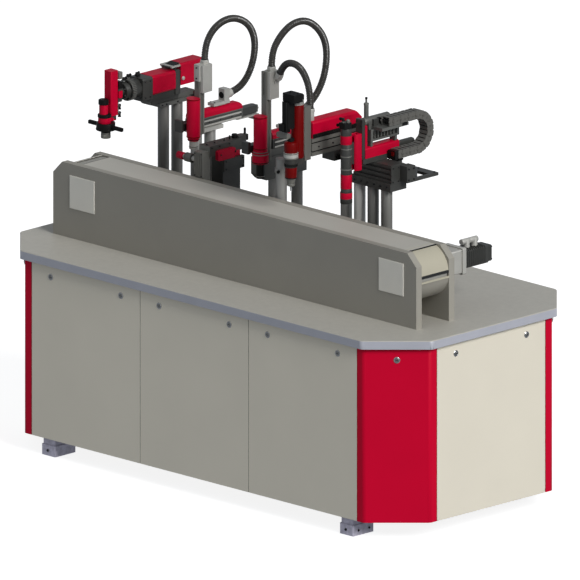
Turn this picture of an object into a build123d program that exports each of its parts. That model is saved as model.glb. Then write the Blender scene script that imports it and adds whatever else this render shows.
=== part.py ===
"""Handling cell: five modular robot arms standing on round columns behind a belt conveyor, on a panelled machine base.

Frame: origin on the floor under the middle of the worktop, +X along the front (left to right as the
operator sees it), +Y from the front to the back, +Z up. Millimetres.
"""

import os
from math import pi, radians, sqrt, tan

from build123d import *

# ---------------------------------------------------------------- driving dimensions
PANEL_WIDTH = 690.0  # one service panel
FRONT_PANELS = 3
CORNER_FLANGE = 42.0  # how far a corner panel wraps onto the front, back and ends
CORNER_LEG = 213.0  # each leg of the cut corner
PANEL_GAP = 1.5
PANEL_DEPTH = 18.0  # folded edge of a panel
SHEET = 2.0
BASE_BOTTOM = 85.0
PANEL_TOP = 897.0
WORKTOP_UNDERSIDE = 900.0
WORKTOP_THICKNESS = 40.0
WORKTOP_OVERHANG = 22.0
FRAME_TUBE = 40.0
FRAME_WALL = 3.0

FRONT_LENGTH = FRONT_PANELS * PANEL_WIDTH + 2 * CORNER_FLANGE
END_LENGTH = PANEL_WIDTH + 2 * CORNER_FLANGE
BASE_LENGTH = FRONT_LENGTH + 2 * CORNER_LEG
BASE_WIDTH = END_LENGTH + 2 * CORNER_LEG
WORKTOP_TOP = WORKTOP_UNDERSIDE + WORKTOP_THICKNESS

FOOT_X = 948.0
FOOT_Y = 514.0
FOOT_LENGTH = 86.0
FOOT_WIDTH = 132.0
ANCHOR_RADIUS = 9.0

CONVEYOR_Y = -191.5  # middle of the belt
CONVEYOR_GAP = 173.0  # between the two side plates
SIDE_PLATE = 35.0
SIDE_PLATE_LEFT = -1185.0
SIDE_PLATE_RIGHT = 1126.0
SIDE_PLATE_TOP = 1286.0
SIDE_PLATE_BEVEL = 57.0
DRUM_Z = 1165.0
DRUM_INSET = 123.0  # drum axis to the end of the side plates
BELT_RADIUS = 116.0  # outside of the belt on a drum
BELT_THICKNESS = 4.0
BELT_WIDTH = 160.0
SHAFT_RADIUS = 15.0
RUNNING_GAP = 0.05  # radial clearance of a shaft in its bore
SLIDE_GAP = 0.3  # clearance of a sliding piece beside its guide

COLUMN_RADIUS = 26.0
COLUMN_WALL = 5.0
COLLAR_GAP = 0.2  # foot ring round a column
LONE_POST = (-26.0, -20.0, 1456.0)  # x, y and top of the post that stands by itself beside arm 3

ARM1_X = -977.0
ARM1_COLUMNS = (181.0, 267.0)
ARM1_TOP = 1490.0
ARM1_AXIS_Z = 1600.0

ARM2_X = -687.0
ARM2_COLUMNS = (100.0, 187.0)
ARM2_TOP = 1432.0
ARM2_LIFT_Y = 60.0
ARM2_MODULE_Z = 1450.0  # underside of the horizontal module

ARM3_X = -189.0
ARM3_COLUMNS = (96.0, 243.0)
ARM3_TOP = 1324.0
ARM3_LIFT_Y = -12.0
ARM3_MODULE_Z = 1460.0

ARM4_X = 187.0
ARM4_COLUMNS = (181.0, 267.0)
ARM4_TOP = 1510.0
ARM4_COVER_TOP = 1686.0
SPINDLE_X = 199.5
SPINDLE_Y = -184.0
MOTOR_Y = -142.0

ARM5_X = 369.0
ARM5_COLUMN_PITCH = 86.0
ARM5_COLUMN_Y = 170.0
ARM5_TOP = 1372.0

LIFT_OFFSET = 38.0  # spindle axis in front of the lift profile
SPINDLE_RADIUS = 19.5
BARREL_GAP = 1.0  # spindle to the bore of its housing
TOOL_HOLE_PITCH_RADIUS = 13.0  # four holes in the end face of a tool spindle
TOOL_HOLE_RADIUS = 2.25
MODULE_HEIGHT = 46.0
MODULE_COVER = 32.0
CONDUIT_DIAMETER = 33.0

# Routes of the corrugated conduits: hand-placed points, x, y, z.
ARM2_ROUTE = [
    (-629, 95, 1765),
    (-629, 95, 1836),
    (-634, 146, 1905),
    (-639, 228, 1938),
    (-646, 316, 1930),
    (-653, 402, 1882),
    (-662, 450, 1802),
    (-671, 452, 1710),
    (-679, 420, 1626),
    (-685, 362, 1578),
    (-687, 304, 1571),
]
ARM3_ROUTE = [
    (-131, 23, 1845),
    (-131, 23, 1918),
    (-136, 76, 1984),
    (-141, 160, 2030),
    (-148, 258, 2028),
    (-155, 345, 1972),
    (-162, 402, 1890),
    (-169, 412, 1790),
    (-176, 388, 1694),
    (-183, 325, 1616),
    (-189, 240, 1577),
]
ARM4_ROUTE = [
    (-79, 20, 1829),
    (-46, 12, 1884),
    (24, -3, 1914),
    (100, -21, 1906),
    (160, -38, 1858),
    (189, -50, 1790),
    (189, -50, 1725),
]


# ---------------------------------------------------------------- helpers
def block(x, y, z):
    """A box between the given (low, high) pairs."""
    size = (x[1] - x[0], y[1] - y[0], z[1] - z[0])
    centre = ((x[0] + x[1]) / 2, (y[0] + y[1]) / 2, (z[0] + z[1]) / 2)
    return Pos(*centre) * Box(*size)


def rounded_block(x, y, z, radius, axis=Axis.Z):
    """A box whose edges along one axis are rounded."""
    body = block(x, y, z)
    return fillet(body.edges().filter_by(axis), radius)


def hood(x, y, z, radius, axis=Axis.Y):
    """A box whose two top edges along one axis are rounded."""
    body = block(x, y, z)
    return fillet(body.edges().filter_by(axis).group_by(Axis.Z)[-1], radius)


def upright(x, y, radius, z):
    """A vertical cylinder between two heights."""
    return Pos(x, y, (z[0] + z[1]) / 2) * Cylinder(radius, z[1] - z[0])


def along_y(x, z, radius, y):
    """A cylinder along Y."""
    return Pos(x, (y[0] + y[1]) / 2, z) * Rot(90, 0, 0) * Cylinder(radius, y[1] - y[0])


def along_x(y, z, radius, x):
    """A cylinder along X."""
    return Pos((x[0] + x[1]) / 2, y, z) * Rot(0, 90, 0) * Cylinder(radius, x[1] - x[0])


def around(middle, width):
    """The (low, high) pair of a width about a middle."""
    return (middle - width / 2, middle + width / 2)


def rear_chamfered(body, size):
    """Cuts the top rear edge of a cover."""
    box = body.bounding_box()
    wedge = block((box.min.X - 1, box.max.X + 1), (box.min.Y - 1, box.max.Y), (box.min.Z - 1, box.max.Z))
    rear = wedge.edges().filter_by(Axis.X).group_by(Axis.Z)[-1].sort_by(Axis.Y)[-1]
    return body & chamfer(rear, size)


def conduit(route):
    """A tube along straight runs joined by tangent arcs, each as large as its two runs allow."""
    points = [Vector(*p) for p in route]
    radii = []
    for before, here, after in zip(points, points[1:], points[2:]):
        half_turn = (here - before).get_angle(after - here) / 2
        shorter = min((here - before).length, (after - here).length)
        radii.append(0.45 * shorter / tan(radians(half_turn)))
    print("conduit radii", [round(r) for r in radii], "mm, diameter", CONDUIT_DIAMETER)
    path = FilletPolyline(*points, radius=radii)
    section = Plane(origin=path @ 0, z_dir=path % 0) * Circle(CONDUIT_DIAMETER / 2)
    tube = sweep(section, path=path)
    expected = pi * (CONDUIT_DIAMETER / 2) ** 2 * path.length
    print("conduit length", round(path.length), "volume ratio", round(tube.volume / expected, 4))
    return tube


def write(name, *solids):
    """One STEP file for one node, holding one or more solids."""
    shapes = [s for solid in solids for s in solid.solids()]
    export_step(Compound(children=shapes) if len(shapes) > 1 else shapes[0], f"parts/{name}.step")


# ---------------------------------------------------------------- machine base
def footprint(length, width, leg):
    """Corners of a rectangle with cut corners, anticlockwise."""
    x, y = length / 2, width / 2
    return [
        (-x + leg, -y),
        (x - leg, -y),
        (x, -y + leg),
        (x, y - leg),
        (x - leg, y),
        (-x + leg, y),
        (-x, y - leg),
        (-x, -y + leg),
    ]


def slab(length, width, leg, z, radius):
    face = make_face(Polyline(*footprint(length, width, leg), close=True))
    body = Pos(0, 0, z[0]) * extrude(face, z[1] - z[0])
    return fillet(body.edges().filter_by(Axis.Z), radius)


def worktop():
    grow = 2 * WORKTOP_OVERHANG
    leg = CORNER_LEG + (2 - sqrt(2)) * WORKTOP_OVERHANG
    body = slab(BASE_LENGTH + grow, BASE_WIDTH + grow, leg, (WORKTOP_UNDERSIDE, WORKTOP_TOP), 30)
    return chamfer(body.faces().sort_by(Axis.Z)[-1].edges(), 3)


def corner_line(inset, radius):
    """The bent line of the front right corner panel, moved inwards by inset."""
    leg = CORNER_LEG - (2 - sqrt(2)) * inset
    x, y = BASE_LENGTH / 2 - inset, BASE_WIDTH / 2 - inset
    start = (FRONT_LENGTH / 2 - CORNER_FLANGE + PANEL_GAP, -y)
    finish = (x, -(END_LENGTH / 2 - CORNER_FLANGE + PANEL_GAP))
    return FilletPolyline(start, (x - leg, -y), (x, -y + leg), finish, radius=radius)


def corner_panels():
    bend = 26.0
    outer = corner_line(0, bend)
    inner = corner_line(SHEET, bend - SHEET)
    ends = [Line(outer @ 0, inner @ 0), Line(outer @ 1, inner @ 1)]
    face = make_face(outer.edges() + inner.edges() + ends)
    panel = Pos(0, 0, BASE_BOTTOM) * extrude(face, PANEL_TOP - BASE_BOTTOM)
    pair = [panel, mirror(panel, Plane.YZ)]
    return pair + [mirror(p, Plane.XZ) for p in pair]


def tray(width, height):
    """A folded panel lying in XZ: its outside is the plane y = 0 and its edges turn back towards +Y."""
    body = block((-width / 2, width / 2), (0, PANEL_DEPTH), (0, height))
    inner = width / 2 - SHEET
    hollow = block((-inner, inner), (SHEET, PANEL_DEPTH), (SHEET, height - SHEET))
    return body - hollow


def service_panel():
    return tray(PANEL_WIDTH - 2 * PANEL_GAP, PANEL_TOP - BASE_BOTTOM)


def panel_positions():
    middle = (FRONT_PANELS - 1) / 2
    return [(i - middle) * PANEL_WIDTH for i in range(FRONT_PANELS)]


def frame_tube(start, finish):
    """A square hollow tube between two points, ending flat at each."""
    a, b = Vector(*start), Vector(*finish)
    outline = Rectangle(FRAME_TUBE, FRAME_TUBE)
    bore = FRAME_TUBE - 2 * FRAME_WALL
    outline -= Rectangle(bore, bore)
    level = abs((b - a).Z) < 1
    plane = Plane(origin=a, x_dir=(0, 0, 1) if level else (1, 0, 0), z_dir=(b - a).normalized())
    return extrude(plane * outline, (b - a).length)


def base_frame():
    """Welded tubes: twelve posts, top and bottom rails between them, cross members and foot plates."""
    front_y, end_x = 560.0, 1250.0
    corner_x, corner_y, inner_x = 1055.0, 365.0, 345.0
    half = FRAME_TUBE / 2
    low, high = BASE_BOTTOM + half, WORKTOP_UNDERSIDE - half
    tubes = []
    for sy in (-1, 1):
        for x in (-corner_x, -inner_x, inner_x, corner_x):
            tubes.append(frame_tube((x, sy * front_y, BASE_BOTTOM), (x, sy * front_y, WORKTOP_UNDERSIDE)))
        for z in (low, high):
            for a, b in ((-corner_x, -inner_x), (-inner_x, inner_x), (inner_x, corner_x)):
                tubes.append(frame_tube((a + half, sy * front_y, z), (b - half, sy * front_y, z)))
    for sx in (-1, 1):
        for sy in (-1, 1):
            x, y = sx * end_x, sy * corner_y
            tubes.append(frame_tube((x, y, BASE_BOTTOM), (x, y, WORKTOP_UNDERSIDE)))
            for z in (low, high):
                tubes.append(
                    frame_tube(
                        (sx * (corner_x + half), sy * (front_y - half), z),
                        (sx * (end_x - half), sy * (corner_y + half), z),
                    )
                )
        for z in (low, high):
            tubes.append(frame_tube((sx * end_x, -corner_y + half, z), (sx * end_x, corner_y - half, z)))
            tubes.append(frame_tube((sx * inner_x, -front_y + half, z), (sx * inner_x, front_y - half, z)))
    for sx in (-1, 1):
        for sy in (-1, 1):
            x = around(sx * FOOT_X, 120)
            y = (sy * 450, sy * 540) if sy > 0 else (-540, -450)
            plate = block(x, y, (BASE_BOTTOM, BASE_BOTTOM + 12))
            tubes.append(plate - upright(sx * FOOT_X, sy * FOOT_Y, ANCHOR_RADIUS, (80, 100)))
    return tubes


def levelling_feet():
    """Wedge levellers: a floor casting and a sliding upper wedge, with one anchor hole through both."""
    split = 50.0
    feet = []
    for sx in (-1, 1):
        for sy in (-1, 1):
            x, y = sx * FOOT_X, sy * FOOT_Y
            hole = upright(x, y, ANCHOR_RADIUS, (-5, 100))
            lower = rounded_block(around(x, FOOT_LENGTH), around(y, FOOT_WIDTH), (0, split), 5)
            rim = rounded_block(around(x, FOOT_LENGTH - 10), around(y, FOOT_WIDTH - 10), (split, BASE_BOTTOM), 4)
            feet += [lower - hole, rim - hole]
    return feet


# ---------------------------------------------------------------- conveyor
NEAR_PLATE_Y = (CONVEYOR_Y - CONVEYOR_GAP / 2 - SIDE_PLATE, CONVEYOR_Y - CONVEYOR_GAP / 2)
FAR_PLATE_Y = (CONVEYOR_Y + CONVEYOR_GAP / 2, CONVEYOR_Y + CONVEYOR_GAP / 2 + SIDE_PLATE)
DRIVE_X = SIDE_PLATE_RIGHT - DRUM_INSET
IDLER_X = SIDE_PLATE_LEFT + DRUM_INSET
BEARING_DEPTH = 24.0
STUB = 22.0


def side_plates():
    plates = []
    for y in (NEAR_PLATE_Y, FAR_PLATE_Y):
        body = block((SIDE_PLATE_LEFT, SIDE_PLATE_RIGHT), y, (WORKTOP_TOP, SIDE_PLATE_TOP))
        top_ends = body.edges().filter_by(Axis.Y).group_by(Axis.Z)[-1]
        body = chamfer(top_ends, SIDE_PLATE_BEVEL)
        for x in (IDLER_X, DRIVE_X):
            inside = y[1] if y is NEAR_PLATE_Y else y[0]
            body -= along_y(x, DRUM_Z, SHAFT_RADIUS + RUNNING_GAP, around(inside, 2 * BEARING_DEPTH))
        plates.append(body)
    plates[1] -= along_y(DRIVE_X, DRUM_Z, SHAFT_RADIUS + RUNNING_GAP, (FAR_PLATE_Y[0] - 1, FAR_PLATE_Y[1] + 1))
    return plates


def drum(x, drive_shaft):
    """A hollow drum with drilled end discs and stub shafts."""
    face = BELT_RADIUS - BELT_THICKNESS - SLIDE_GAP
    y = around(CONVEYOR_Y, CONVEYOR_GAP - 8)
    shell, disc = 10.0, 12.0
    body = along_y(x, DRUM_Z, face, y)
    body -= along_y(x, DRUM_Z, face - shell, (y[0] + disc, y[1] - disc))
    body += along_y(x, DRUM_Z, SHAFT_RADIUS, (NEAR_PLATE_Y[1] - STUB, FAR_PLATE_Y[0] + drive_shaft))
    for i in range(4):
        hole = Pos(x, 0, DRUM_Z) * Rot(0, 45 + 90 * i, 0) * Pos(60, CONVEYOR_Y, 0)
        body -= hole * Rot(90, 0, 0) * Cylinder(20, CONVEYOR_GAP)
    return body


def belt_outline(radius):
    """The racetrack that a belt of this outer radius follows, in XZ."""
    plane = Plane(origin=(0, CONVEYOR_Y, 0), x_dir=(1, 0, 0), z_dir=(0, -1, 0))
    length = DRIVE_X - IDLER_X
    return plane * Pos((DRIVE_X + IDLER_X) / 2, DRUM_Z) * SlotOverall(length + 2 * radius, 2 * radius)


def belt():
    band = belt_outline(BELT_RADIUS) - belt_outline(BELT_RADIUS - BELT_THICKNESS)
    return extrude(band, BELT_WIDTH / 2, both=True)


def top_cover():
    sheet = 3.0
    x = (IDLER_X + 31, DRIVE_X + 40)
    y = (NEAR_PLATE_Y[1], FAR_PLATE_Y[0])
    return block(x, y, (SIDE_PLATE_TOP - sheet - 1, SIDE_PLATE_TOP - 1))


def belt_support():
    """Slider bed under the upper run, carried on tie bars between the side plates."""
    y = (NEAR_PLATE_Y[1], FAR_PLATE_Y[0])
    z = DRUM_Z + BELT_RADIUS - BELT_THICKNESS
    bed = block((IDLER_X + 150, DRIVE_X - 150), around(CONVEYOR_Y, BELT_WIDTH - 10), (z - 14, z - 1))
    ties = [along_y(x, z - 34, 20, y) for x in (-800.0, -400.0, 0.0, 400.0, 740.0)]
    return [bed] + ties


def drum_guards():
    """Curved sheets under each drum, each with a wiper bar along its lip."""
    y = (NEAR_PLATE_Y[1], FAR_PLATE_Y[0])
    inner, outer = BELT_RADIUS + 5, BELT_RADIUS + 8
    guards = []
    for x, side in ((DRIVE_X, 1), (IDLER_X, -1)):
        ring = along_y(x, DRUM_Z, outer, y) - along_y(x, DRUM_Z, inner, y)
        keep = block((x - 20, x + outer + 5) if side > 0 else (x - outer - 5, x + 20), y, (1000, DRUM_Z - 14))
        lip_x = (x + inner - 3.5, x + outer) if side > 0 else (x - outer, x - inner + 3.5)
        guards.append((ring & keep) + block(lip_x, y, (DRUM_Z - 22, DRUM_Z - 13)))
    return guards


def access_plates():
    size, thickness = 158.0, 3.0
    y = (NEAR_PLATE_Y[0] - thickness, NEAR_PLATE_Y[0])
    return [block((x, x + size), y, (1080, 1233)) for x in (-1078.0, 889.0)]


def gearbox():
    y = FAR_PLATE_Y[1]
    body = rounded_block(around(DRIVE_X - 18, 112), (y, y + 132), (1112, 1224), 8, Axis.Y)
    body += rounded_block(around(DRIVE_X - 18, 124), (y + 132, y + 155), (1106, 1230), 8, Axis.Y)
    return body - along_y(DRIVE_X, DRUM_Z, SHAFT_RADIUS + RUNNING_GAP, (y - 1, y + 60))


def drive_motor():
    y = FAR_PLATE_Y[1] + 155
    x = around(DRIVE_X - 18, 84)
    body = rounded_block(x, (y, y + 160), (1124, 1208), 10, Axis.Y)
    tail = rounded_block(around(DRIVE_X - 18, 76), (y + 160, y + 186), (1128, 1204), 8, Axis.Y)
    body += tail
    for dy in (62, 112):
        body += upright(DRIVE_X - 18, y + dy, 15, (1200, 1246))
        body += along_y(DRIVE_X - 18, 1238, 13, (y + dy - 34, y + dy + 15))
    return body


# ---------------------------------------------------------------- columns
def arm_columns():
    """(x, y, height of the top) of every column."""
    posts = [(ARM1_X, y, ARM1_TOP) for y in ARM1_COLUMNS]
    posts += [(ARM2_X, y, ARM2_TOP) for y in ARM2_COLUMNS]
    posts += [(ARM3_X, y, ARM3_TOP) for y in ARM3_COLUMNS]
    posts += [(ARM4_X, y, ARM4_TOP) for y in ARM4_COLUMNS]
    posts += [(ARM5_X + i * ARM5_COLUMN_PITCH, ARM5_COLUMN_Y, ARM5_TOP) for i in (-1, 0, 1)]
    posts.append(LONE_POST)
    return posts


def support_columns():
    columns = []
    for x, y, top in arm_columns():
        tube = upright(x, y, COLUMN_RADIUS, (WORKTOP_TOP, top))
        columns.append(tube - upright(x, y, COLUMN_RADIUS - COLUMN_WALL, (WORKTOP_TOP, top)))
    return columns


def column_flanges():
    """A screwed foot ring round the bottom of each column."""
    flanges = []
    for x, y, _ in arm_columns():
        ring = upright(x, y, 41, (WORKTOP_TOP, WORKTOP_TOP + 14)) + upright(x, y, 33, (WORKTOP_TOP, WORKTOP_TOP + 34))
        flanges.append(ring - upright(x, y, COLUMN_RADIUS + COLLAR_GAP, (WORKTOP_TOP, WORKTOP_TOP + 34)))
    return flanges


# ---------------------------------------------------------------- arm 1: swivel gripper
HEAD1_Y = -152.0
SPINDLE1_Y = -186.0


def arm1_mount():
    plate = block(around(ARM1_X, 84), (118, 318), (ARM1_TOP, ARM1_TOP + 18))
    rail = block(around(ARM1_X, 56), (70, 350), (ARM1_TOP + 18, ARM1_TOP + 40))
    return plate + rail


def arm1_carriage():
    """Moving body of the horizontal axis: it straddles the rail."""
    low = ARM1_TOP + 40 + SLIDE_GAP
    body = rounded_block(around(ARM1_X, 92), (4, 68), (1540, 1646), 10, Axis.Y)
    body += block(around(ARM1_X, 78), (52, 250), (low, 1640))
    body += block(around(ARM1_X, 88), (214, 238), (1534, 1648))
    for side in (-1, 1):
        x = sorted((ARM1_X + side * (28 + SLIDE_GAP), ARM1_X + side * (34 + SLIDE_GAP)))
        body += block(x, (72, 242), (ARM1_TOP + 20, low))
    return body


def arm1_covers():
    """Red covers: a hood over the carriage, and a taller box with a visor at its rear end."""
    outer = rounded_block(around(ARM1_X, 92), (68, 214), (1556, 1647), 14, Axis.Y)
    shell = outer - block(around(ARM1_X, 78.4), (60, 220), (1500, 1640.2))
    rear = hood(around(ARM1_X, 84), (250, 400), (1570, 1670), 12)
    rear -= block(around(ARM1_X, 74), (258, 392), (1578, 1662))
    rear += block(around(ARM1_X, 76), (196, 252), (1658, 1666))
    return [shell, rear]


def arm1_wrist():
    """Swivel module: a stepped round flange that turns about Y."""
    body = None
    for radius, low, high in ((44, -34, 4 - SLIDE_GAP), (50, -60, -34), (38, -88, -60), (21, -104, -88)):
        ring = along_y(ARM1_X, ARM1_AXIS_Z, radius, (low, high))
        body = ring if body is None else body + ring
    return body


def arm1_bracket():
    return block(around(ARM1_X, 44), (HEAD1_Y + 23, HEAD1_Y + 48), (1560, 1650))


def arm1_head_cover():
    shell = rounded_block(around(ARM1_X, 46), (HEAD1_Y - 23, HEAD1_Y + 23), (1502, 1711), 6)
    return shell - block(around(ARM1_X, 36), (HEAD1_Y - 18, HEAD1_Y + 18), (1502, 1704))


def arm1_spindle():
    """Lift spindle: collar, barrel and gripper body, guided inside the head cover."""
    guide = block(around(ARM1_X, 34), (HEAD1_Y - 16, HEAD1_Y + 16), (1478, 1690))
    arm = block(around(ARM1_X, 34), (SPINDLE1_Y, HEAD1_Y + 10), (1478, 1500))
    barrel = upright(ARM1_X, SPINDLE1_Y - 14, 20, (1478, 1560))
    neck = upright(ARM1_X, SPINDLE1_Y - 8, 29, (1474, 1502))
    return guide + arm + barrel + neck


def arm1_gripper():
    disc = upright(ARM1_X, SPINDLE1_Y, 43, (1440, 1474))
    nozzle = upright(ARM1_X, SPINDLE1_Y, 21, (1402, 1434)) + upright(ARM1_X, SPINDLE1_Y, 14, (1434, 1440))
    body = disc + nozzle
    slot_z = (1449, 1467)
    for side in (-1, 1):
        x = sorted((ARM1_X + side * 24, ARM1_X + side * 50))
        body -= block(x, around(SPINDLE1_Y, 18.4), (slot_z[0] - 0.2, slot_z[1] + 0.2))
    return body


def arm1_jaw(side):
    x = sorted((ARM1_X + side * 36, ARM1_X + side * 104))
    bar = rounded_block(x, around(SPINDLE1_Y, 18), (1449, 1467), 5, Axis.X)
    return bar


# ---------------------------------------------------------------- arms 2 and 3: reach-and-lift arms
def module_housing(x, z):
    """Fixed body of a horizontal module, with the channel that its ram runs in."""
    body = rounded_block(around(x, 60), (60, 366), (z, z + MODULE_HEIGHT), 4, Axis.Y)
    channel = block(around(x, 40 + 2 * SLIDE_GAP), (50, 380), (z + 5 - SLIDE_GAP, z + 39 + SLIDE_GAP))
    return body - channel


def module_cover(x, z):
    low = z + MODULE_HEIGHT
    return hood(around(x, 58), (62, 366), (low, low + MODULE_COVER), 22) & rear_rounding(x, low)


def rear_rounding(x, z):
    """A block whose top rear edge is rounded, to shape a cover's rear end."""
    body = block(around(x, 70), (0, 366), (z - 1, z + MODULE_COVER))
    rear = body.edges().filter_by(Axis.X).group_by(Axis.Z)[-1].sort_by(Axis.Y)[-1]
    return fillet(rear, 28)


def reach_ram(x, lift_y, base):
    """Sliding ram with the angle at its front end that carries the lift module."""
    front = lift_y - 60
    z = (base + 1, base + 56)
    body = block(around(x, 40), (front, 468), (base + 5, base + 39))
    body += block((x - 22, x + 20), (front - 16, front), z)
    before_housing = min(lift_y + 16, 59)
    body += block((x + 19, x + 44), (lift_y - 14, before_housing), z)
    body += block((x + 30.5, x + 44), (lift_y - 14, lift_y + 16), z)
    return body


def lift_module(x, lift_y, z):
    """Vertical grooved profile, with the holder at its top that ends the conduit behind it."""
    centre, back, top = x + 60, lift_y + 16, z[1]
    profile = block(around(centre, 32), around(lift_y, 32), z)
    for side in (-1, 1):
        profile -= block(around(centre + side * 16, 8), around(lift_y, 8), z)
    profile -= block(around(centre, 8), around(lift_y - 16, 8), (top - 110, top))
    holder = block((centre + 16, centre + 32), (lift_y - 10, back + 34), (top - 128, top))
    holder += block((centre - 20, centre + 16), (back, back + 36), (top - 42, top))
    return [profile, holder]


def lift_cover(x, lift_y, stages):
    """Round red housing against the front of the profile, bored for the spindle: (radius, low, high) per stage."""
    centre, y = x + 60, lift_y - LIFT_OFFSET
    body = None
    for radius, low, high in stages:
        ring = upright(centre, y, radius, (low, high))
        body = ring if body is None else body + ring
    low, high = stages[0][1], stages[-1][2]
    body -= block(around(centre, 90), (lift_y - 16, lift_y + 40), (low - 1, high + 1))
    return body - upright(centre, y, SPINDLE_RADIUS + BARREL_GAP, (low - 1, high - 24))


def lift_tool(x, lift_y, tip, top):
    """Tool spindle that slides in the housing, with four screw holes in its end face."""
    centre, y = x + 60, lift_y - LIFT_OFFSET
    spindle = upright(centre, y, SPINDLE_RADIUS, (tip, top))
    for dx, dy in ((1, 1), (1, -1), (-1, 1), (-1, -1)):
        offset = TOOL_HOLE_PITCH_RADIUS / sqrt(2)
        hole = (centre + dx * offset, y + dy * offset)
        spindle -= upright(*hole, TOOL_HOLE_RADIUS, (tip - 1, tip + 14))
    return spindle


def arm2_mount():
    return block(around(ARM2_X, 84), (60, 232), (ARM2_TOP, ARM2_MODULE_Z))


def arm3_mount():
    body = block((ARM3_X - 38, ARM3_X + 36), (-12, 270), (ARM3_TOP, 1427))
    body += block(around(ARM3_X, 60), (20, 260), (1427, ARM3_MODULE_Z))
    front_low = body.edges().filter_by(Axis.X).group_by(Axis.Z)[0].sort_by(Axis.Y)[0]
    return chamfer(front_low, 24)


def hose_fittings():
    """Aluminium sockets on the fixed modules that end the conduits of arms 2 and 3, and that of arm 4."""
    fittings = []
    for x, module, route in ((ARM2_X, ARM2_MODULE_Z, ARM2_ROUTE), (ARM3_X, ARM3_MODULE_Z, ARM3_ROUTE)):
        end, before = Vector(*route[-1]), Vector(*route[-2])
        heading = (end - before).normalized()
        collar = extrude(Plane(origin=end, z_dir=heading) * Circle(20), 26)
        y = end.Y - 28
        top = module + MODULE_HEIGHT + MODULE_COVER
        body = block(around(x, 38), around(y, 32), (end.Z - 30, end.Z + 30)) + collar
        body += block(around(x, 40), (y - 84, y + 18), (end.Z - 38, end.Z - 24))
        body += block(around(x, 24), (y - 60, y), (top, end.Z - 38))
        fittings.append(body)
    end = ARM4_ROUTE[-1]
    socket = upright(end[0], end[1], 18, (ARM4_COVER_TOP, end[2]))
    fittings.append(socket)
    return fittings


def conduit_socket():
    """Side socket on the bracket of arm 3 that the conduit of arm 4 leaves from."""
    start, after = Vector(*ARM4_ROUTE[0]), Vector(*ARM4_ROUTE[1])
    heading = (after - start).normalized()
    collar = extrude(Plane(origin=start, z_dir=-heading) * Circle(19), 18)
    return collar + block((ARM3_X + 76, ARM3_X + 98), (4, 34), (1790, 1822))


# ---------------------------------------------------------------- feeder between arms 2 and 3
FEEDER_X = -500.0
STOP_Y = -50.0
STOP_Z = 1361.0


def feeder_body():
    """Pedestal with a rail across its top, a ribbed front guide and a side box."""
    body = block(around(FEEDER_X, 70), (47, 158), (WORKTOP_TOP, 1381))
    body += block(around(FEEDER_X, 66), (-34, 168), (1381, 1429))
    front = block(around(FEEDER_X, 52), (-75, -24), (1290, 1406))
    front += block(around(FEEDER_X, 52), (-67, -24), (1262, 1290))
    for x in (-20, -7, 6, 19):
        front -= block(around(FEEDER_X + x, 5), (-76, -70), (1289, 1407))
    body += front
    body += block((FEEDER_X + 35, FEEDER_X + 52), (40, 168), (1300, 1356))
    body += block(around(FEEDER_X, 34), (166, 214), (1372, 1436))
    return body - along_x(STOP_Y, STOP_Z, 12 + RUNNING_GAP, (FEEDER_X - 27, FEEDER_X + 20))


def feeder_cover():
    x = (FEEDER_X + 33, FEEDER_X + 52)
    return rounded_block(x, (2, 112), (1357, 1404), 8, Axis.X)


def feeder_stop():
    """Stop pin of the feeder: a piston rod, a disc and a round head."""
    rod = along_x(STOP_Y, STOP_Z, 12, (FEEDER_X - 112, FEEDER_X + 15))
    disc = along_x(STOP_Y, STOP_Z, 21, (FEEDER_X - 98, FEEDER_X - 58))
    head = along_x(STOP_Y, STOP_Z, 17, (FEEDER_X - 150, FEEDER_X - 112))
    return rod + disc + head


# ---------------------------------------------------------------- arm 4: screwdriving station
def arm4_beam():
    plate = block(around(ARM4_X, 84), (140, 308), (ARM4_TOP, ARM4_TOP + 15))
    beam = block(around(ARM4_X, 70), (-72, 285), (ARM4_TOP + 15, 1608))
    for z in (1545, 1585):
        for side in (-1, 1):
            beam -= block(around(ARM4_X + side * 35, 12), (-73, 286), around(z, 8))
    clamp = block(around(ARM4_X, 78), (66, 108), (1478, ARM4_TOP + 15))
    column = block((165, 215), (-112, -72), (1511, 1762))
    return plate + beam + clamp + column


def arm4_cover():
    body = rear_chamfered(hood(around(ARM4_X, 74), (-70, 243), (1608, ARM4_COVER_TOP), 14), 34)
    return body - block(around(ARM4_X, 62), (-60, 205), (1608, ARM4_COVER_TOP - 8))


def arm4_screwdriver():
    """Dark red motor barrel beside the spindle head, and the lower sleeve."""
    motor = upright(SPINDLE_X, MOTOR_Y, 29, (1533, 1780))
    head = upright(SPINDLE_X, SPINDLE_Y, 31, (1564, 1606))
    bridge = block(around(SPINDLE_X, 48), (SPINDLE_Y, MOTOR_Y), (1567, 1600))
    body = motor + head + bridge - block(around(SPINDLE_X, 90), (-117, -90), (1500, 1800))
    sleeve = upright(SPINDLE_X, SPINDLE_Y, 27, (1446, 1496))
    return [body, sleeve]


def arm4_motor():
    """Black drive head: a cap over both axes and the grip that hangs in front."""
    cap = rounded_block((172, 250), (-212, -155), (1803, 1841), 5)
    cap += block((178, 222), (-160, -122), (1803, 1826))
    grip = rounded_block((180, 210), (-224, -196), (1662, 1803), 5)
    foot = block((174, 200), (-236, -218), (1668, 1700))
    return cap + grip + foot


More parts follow.
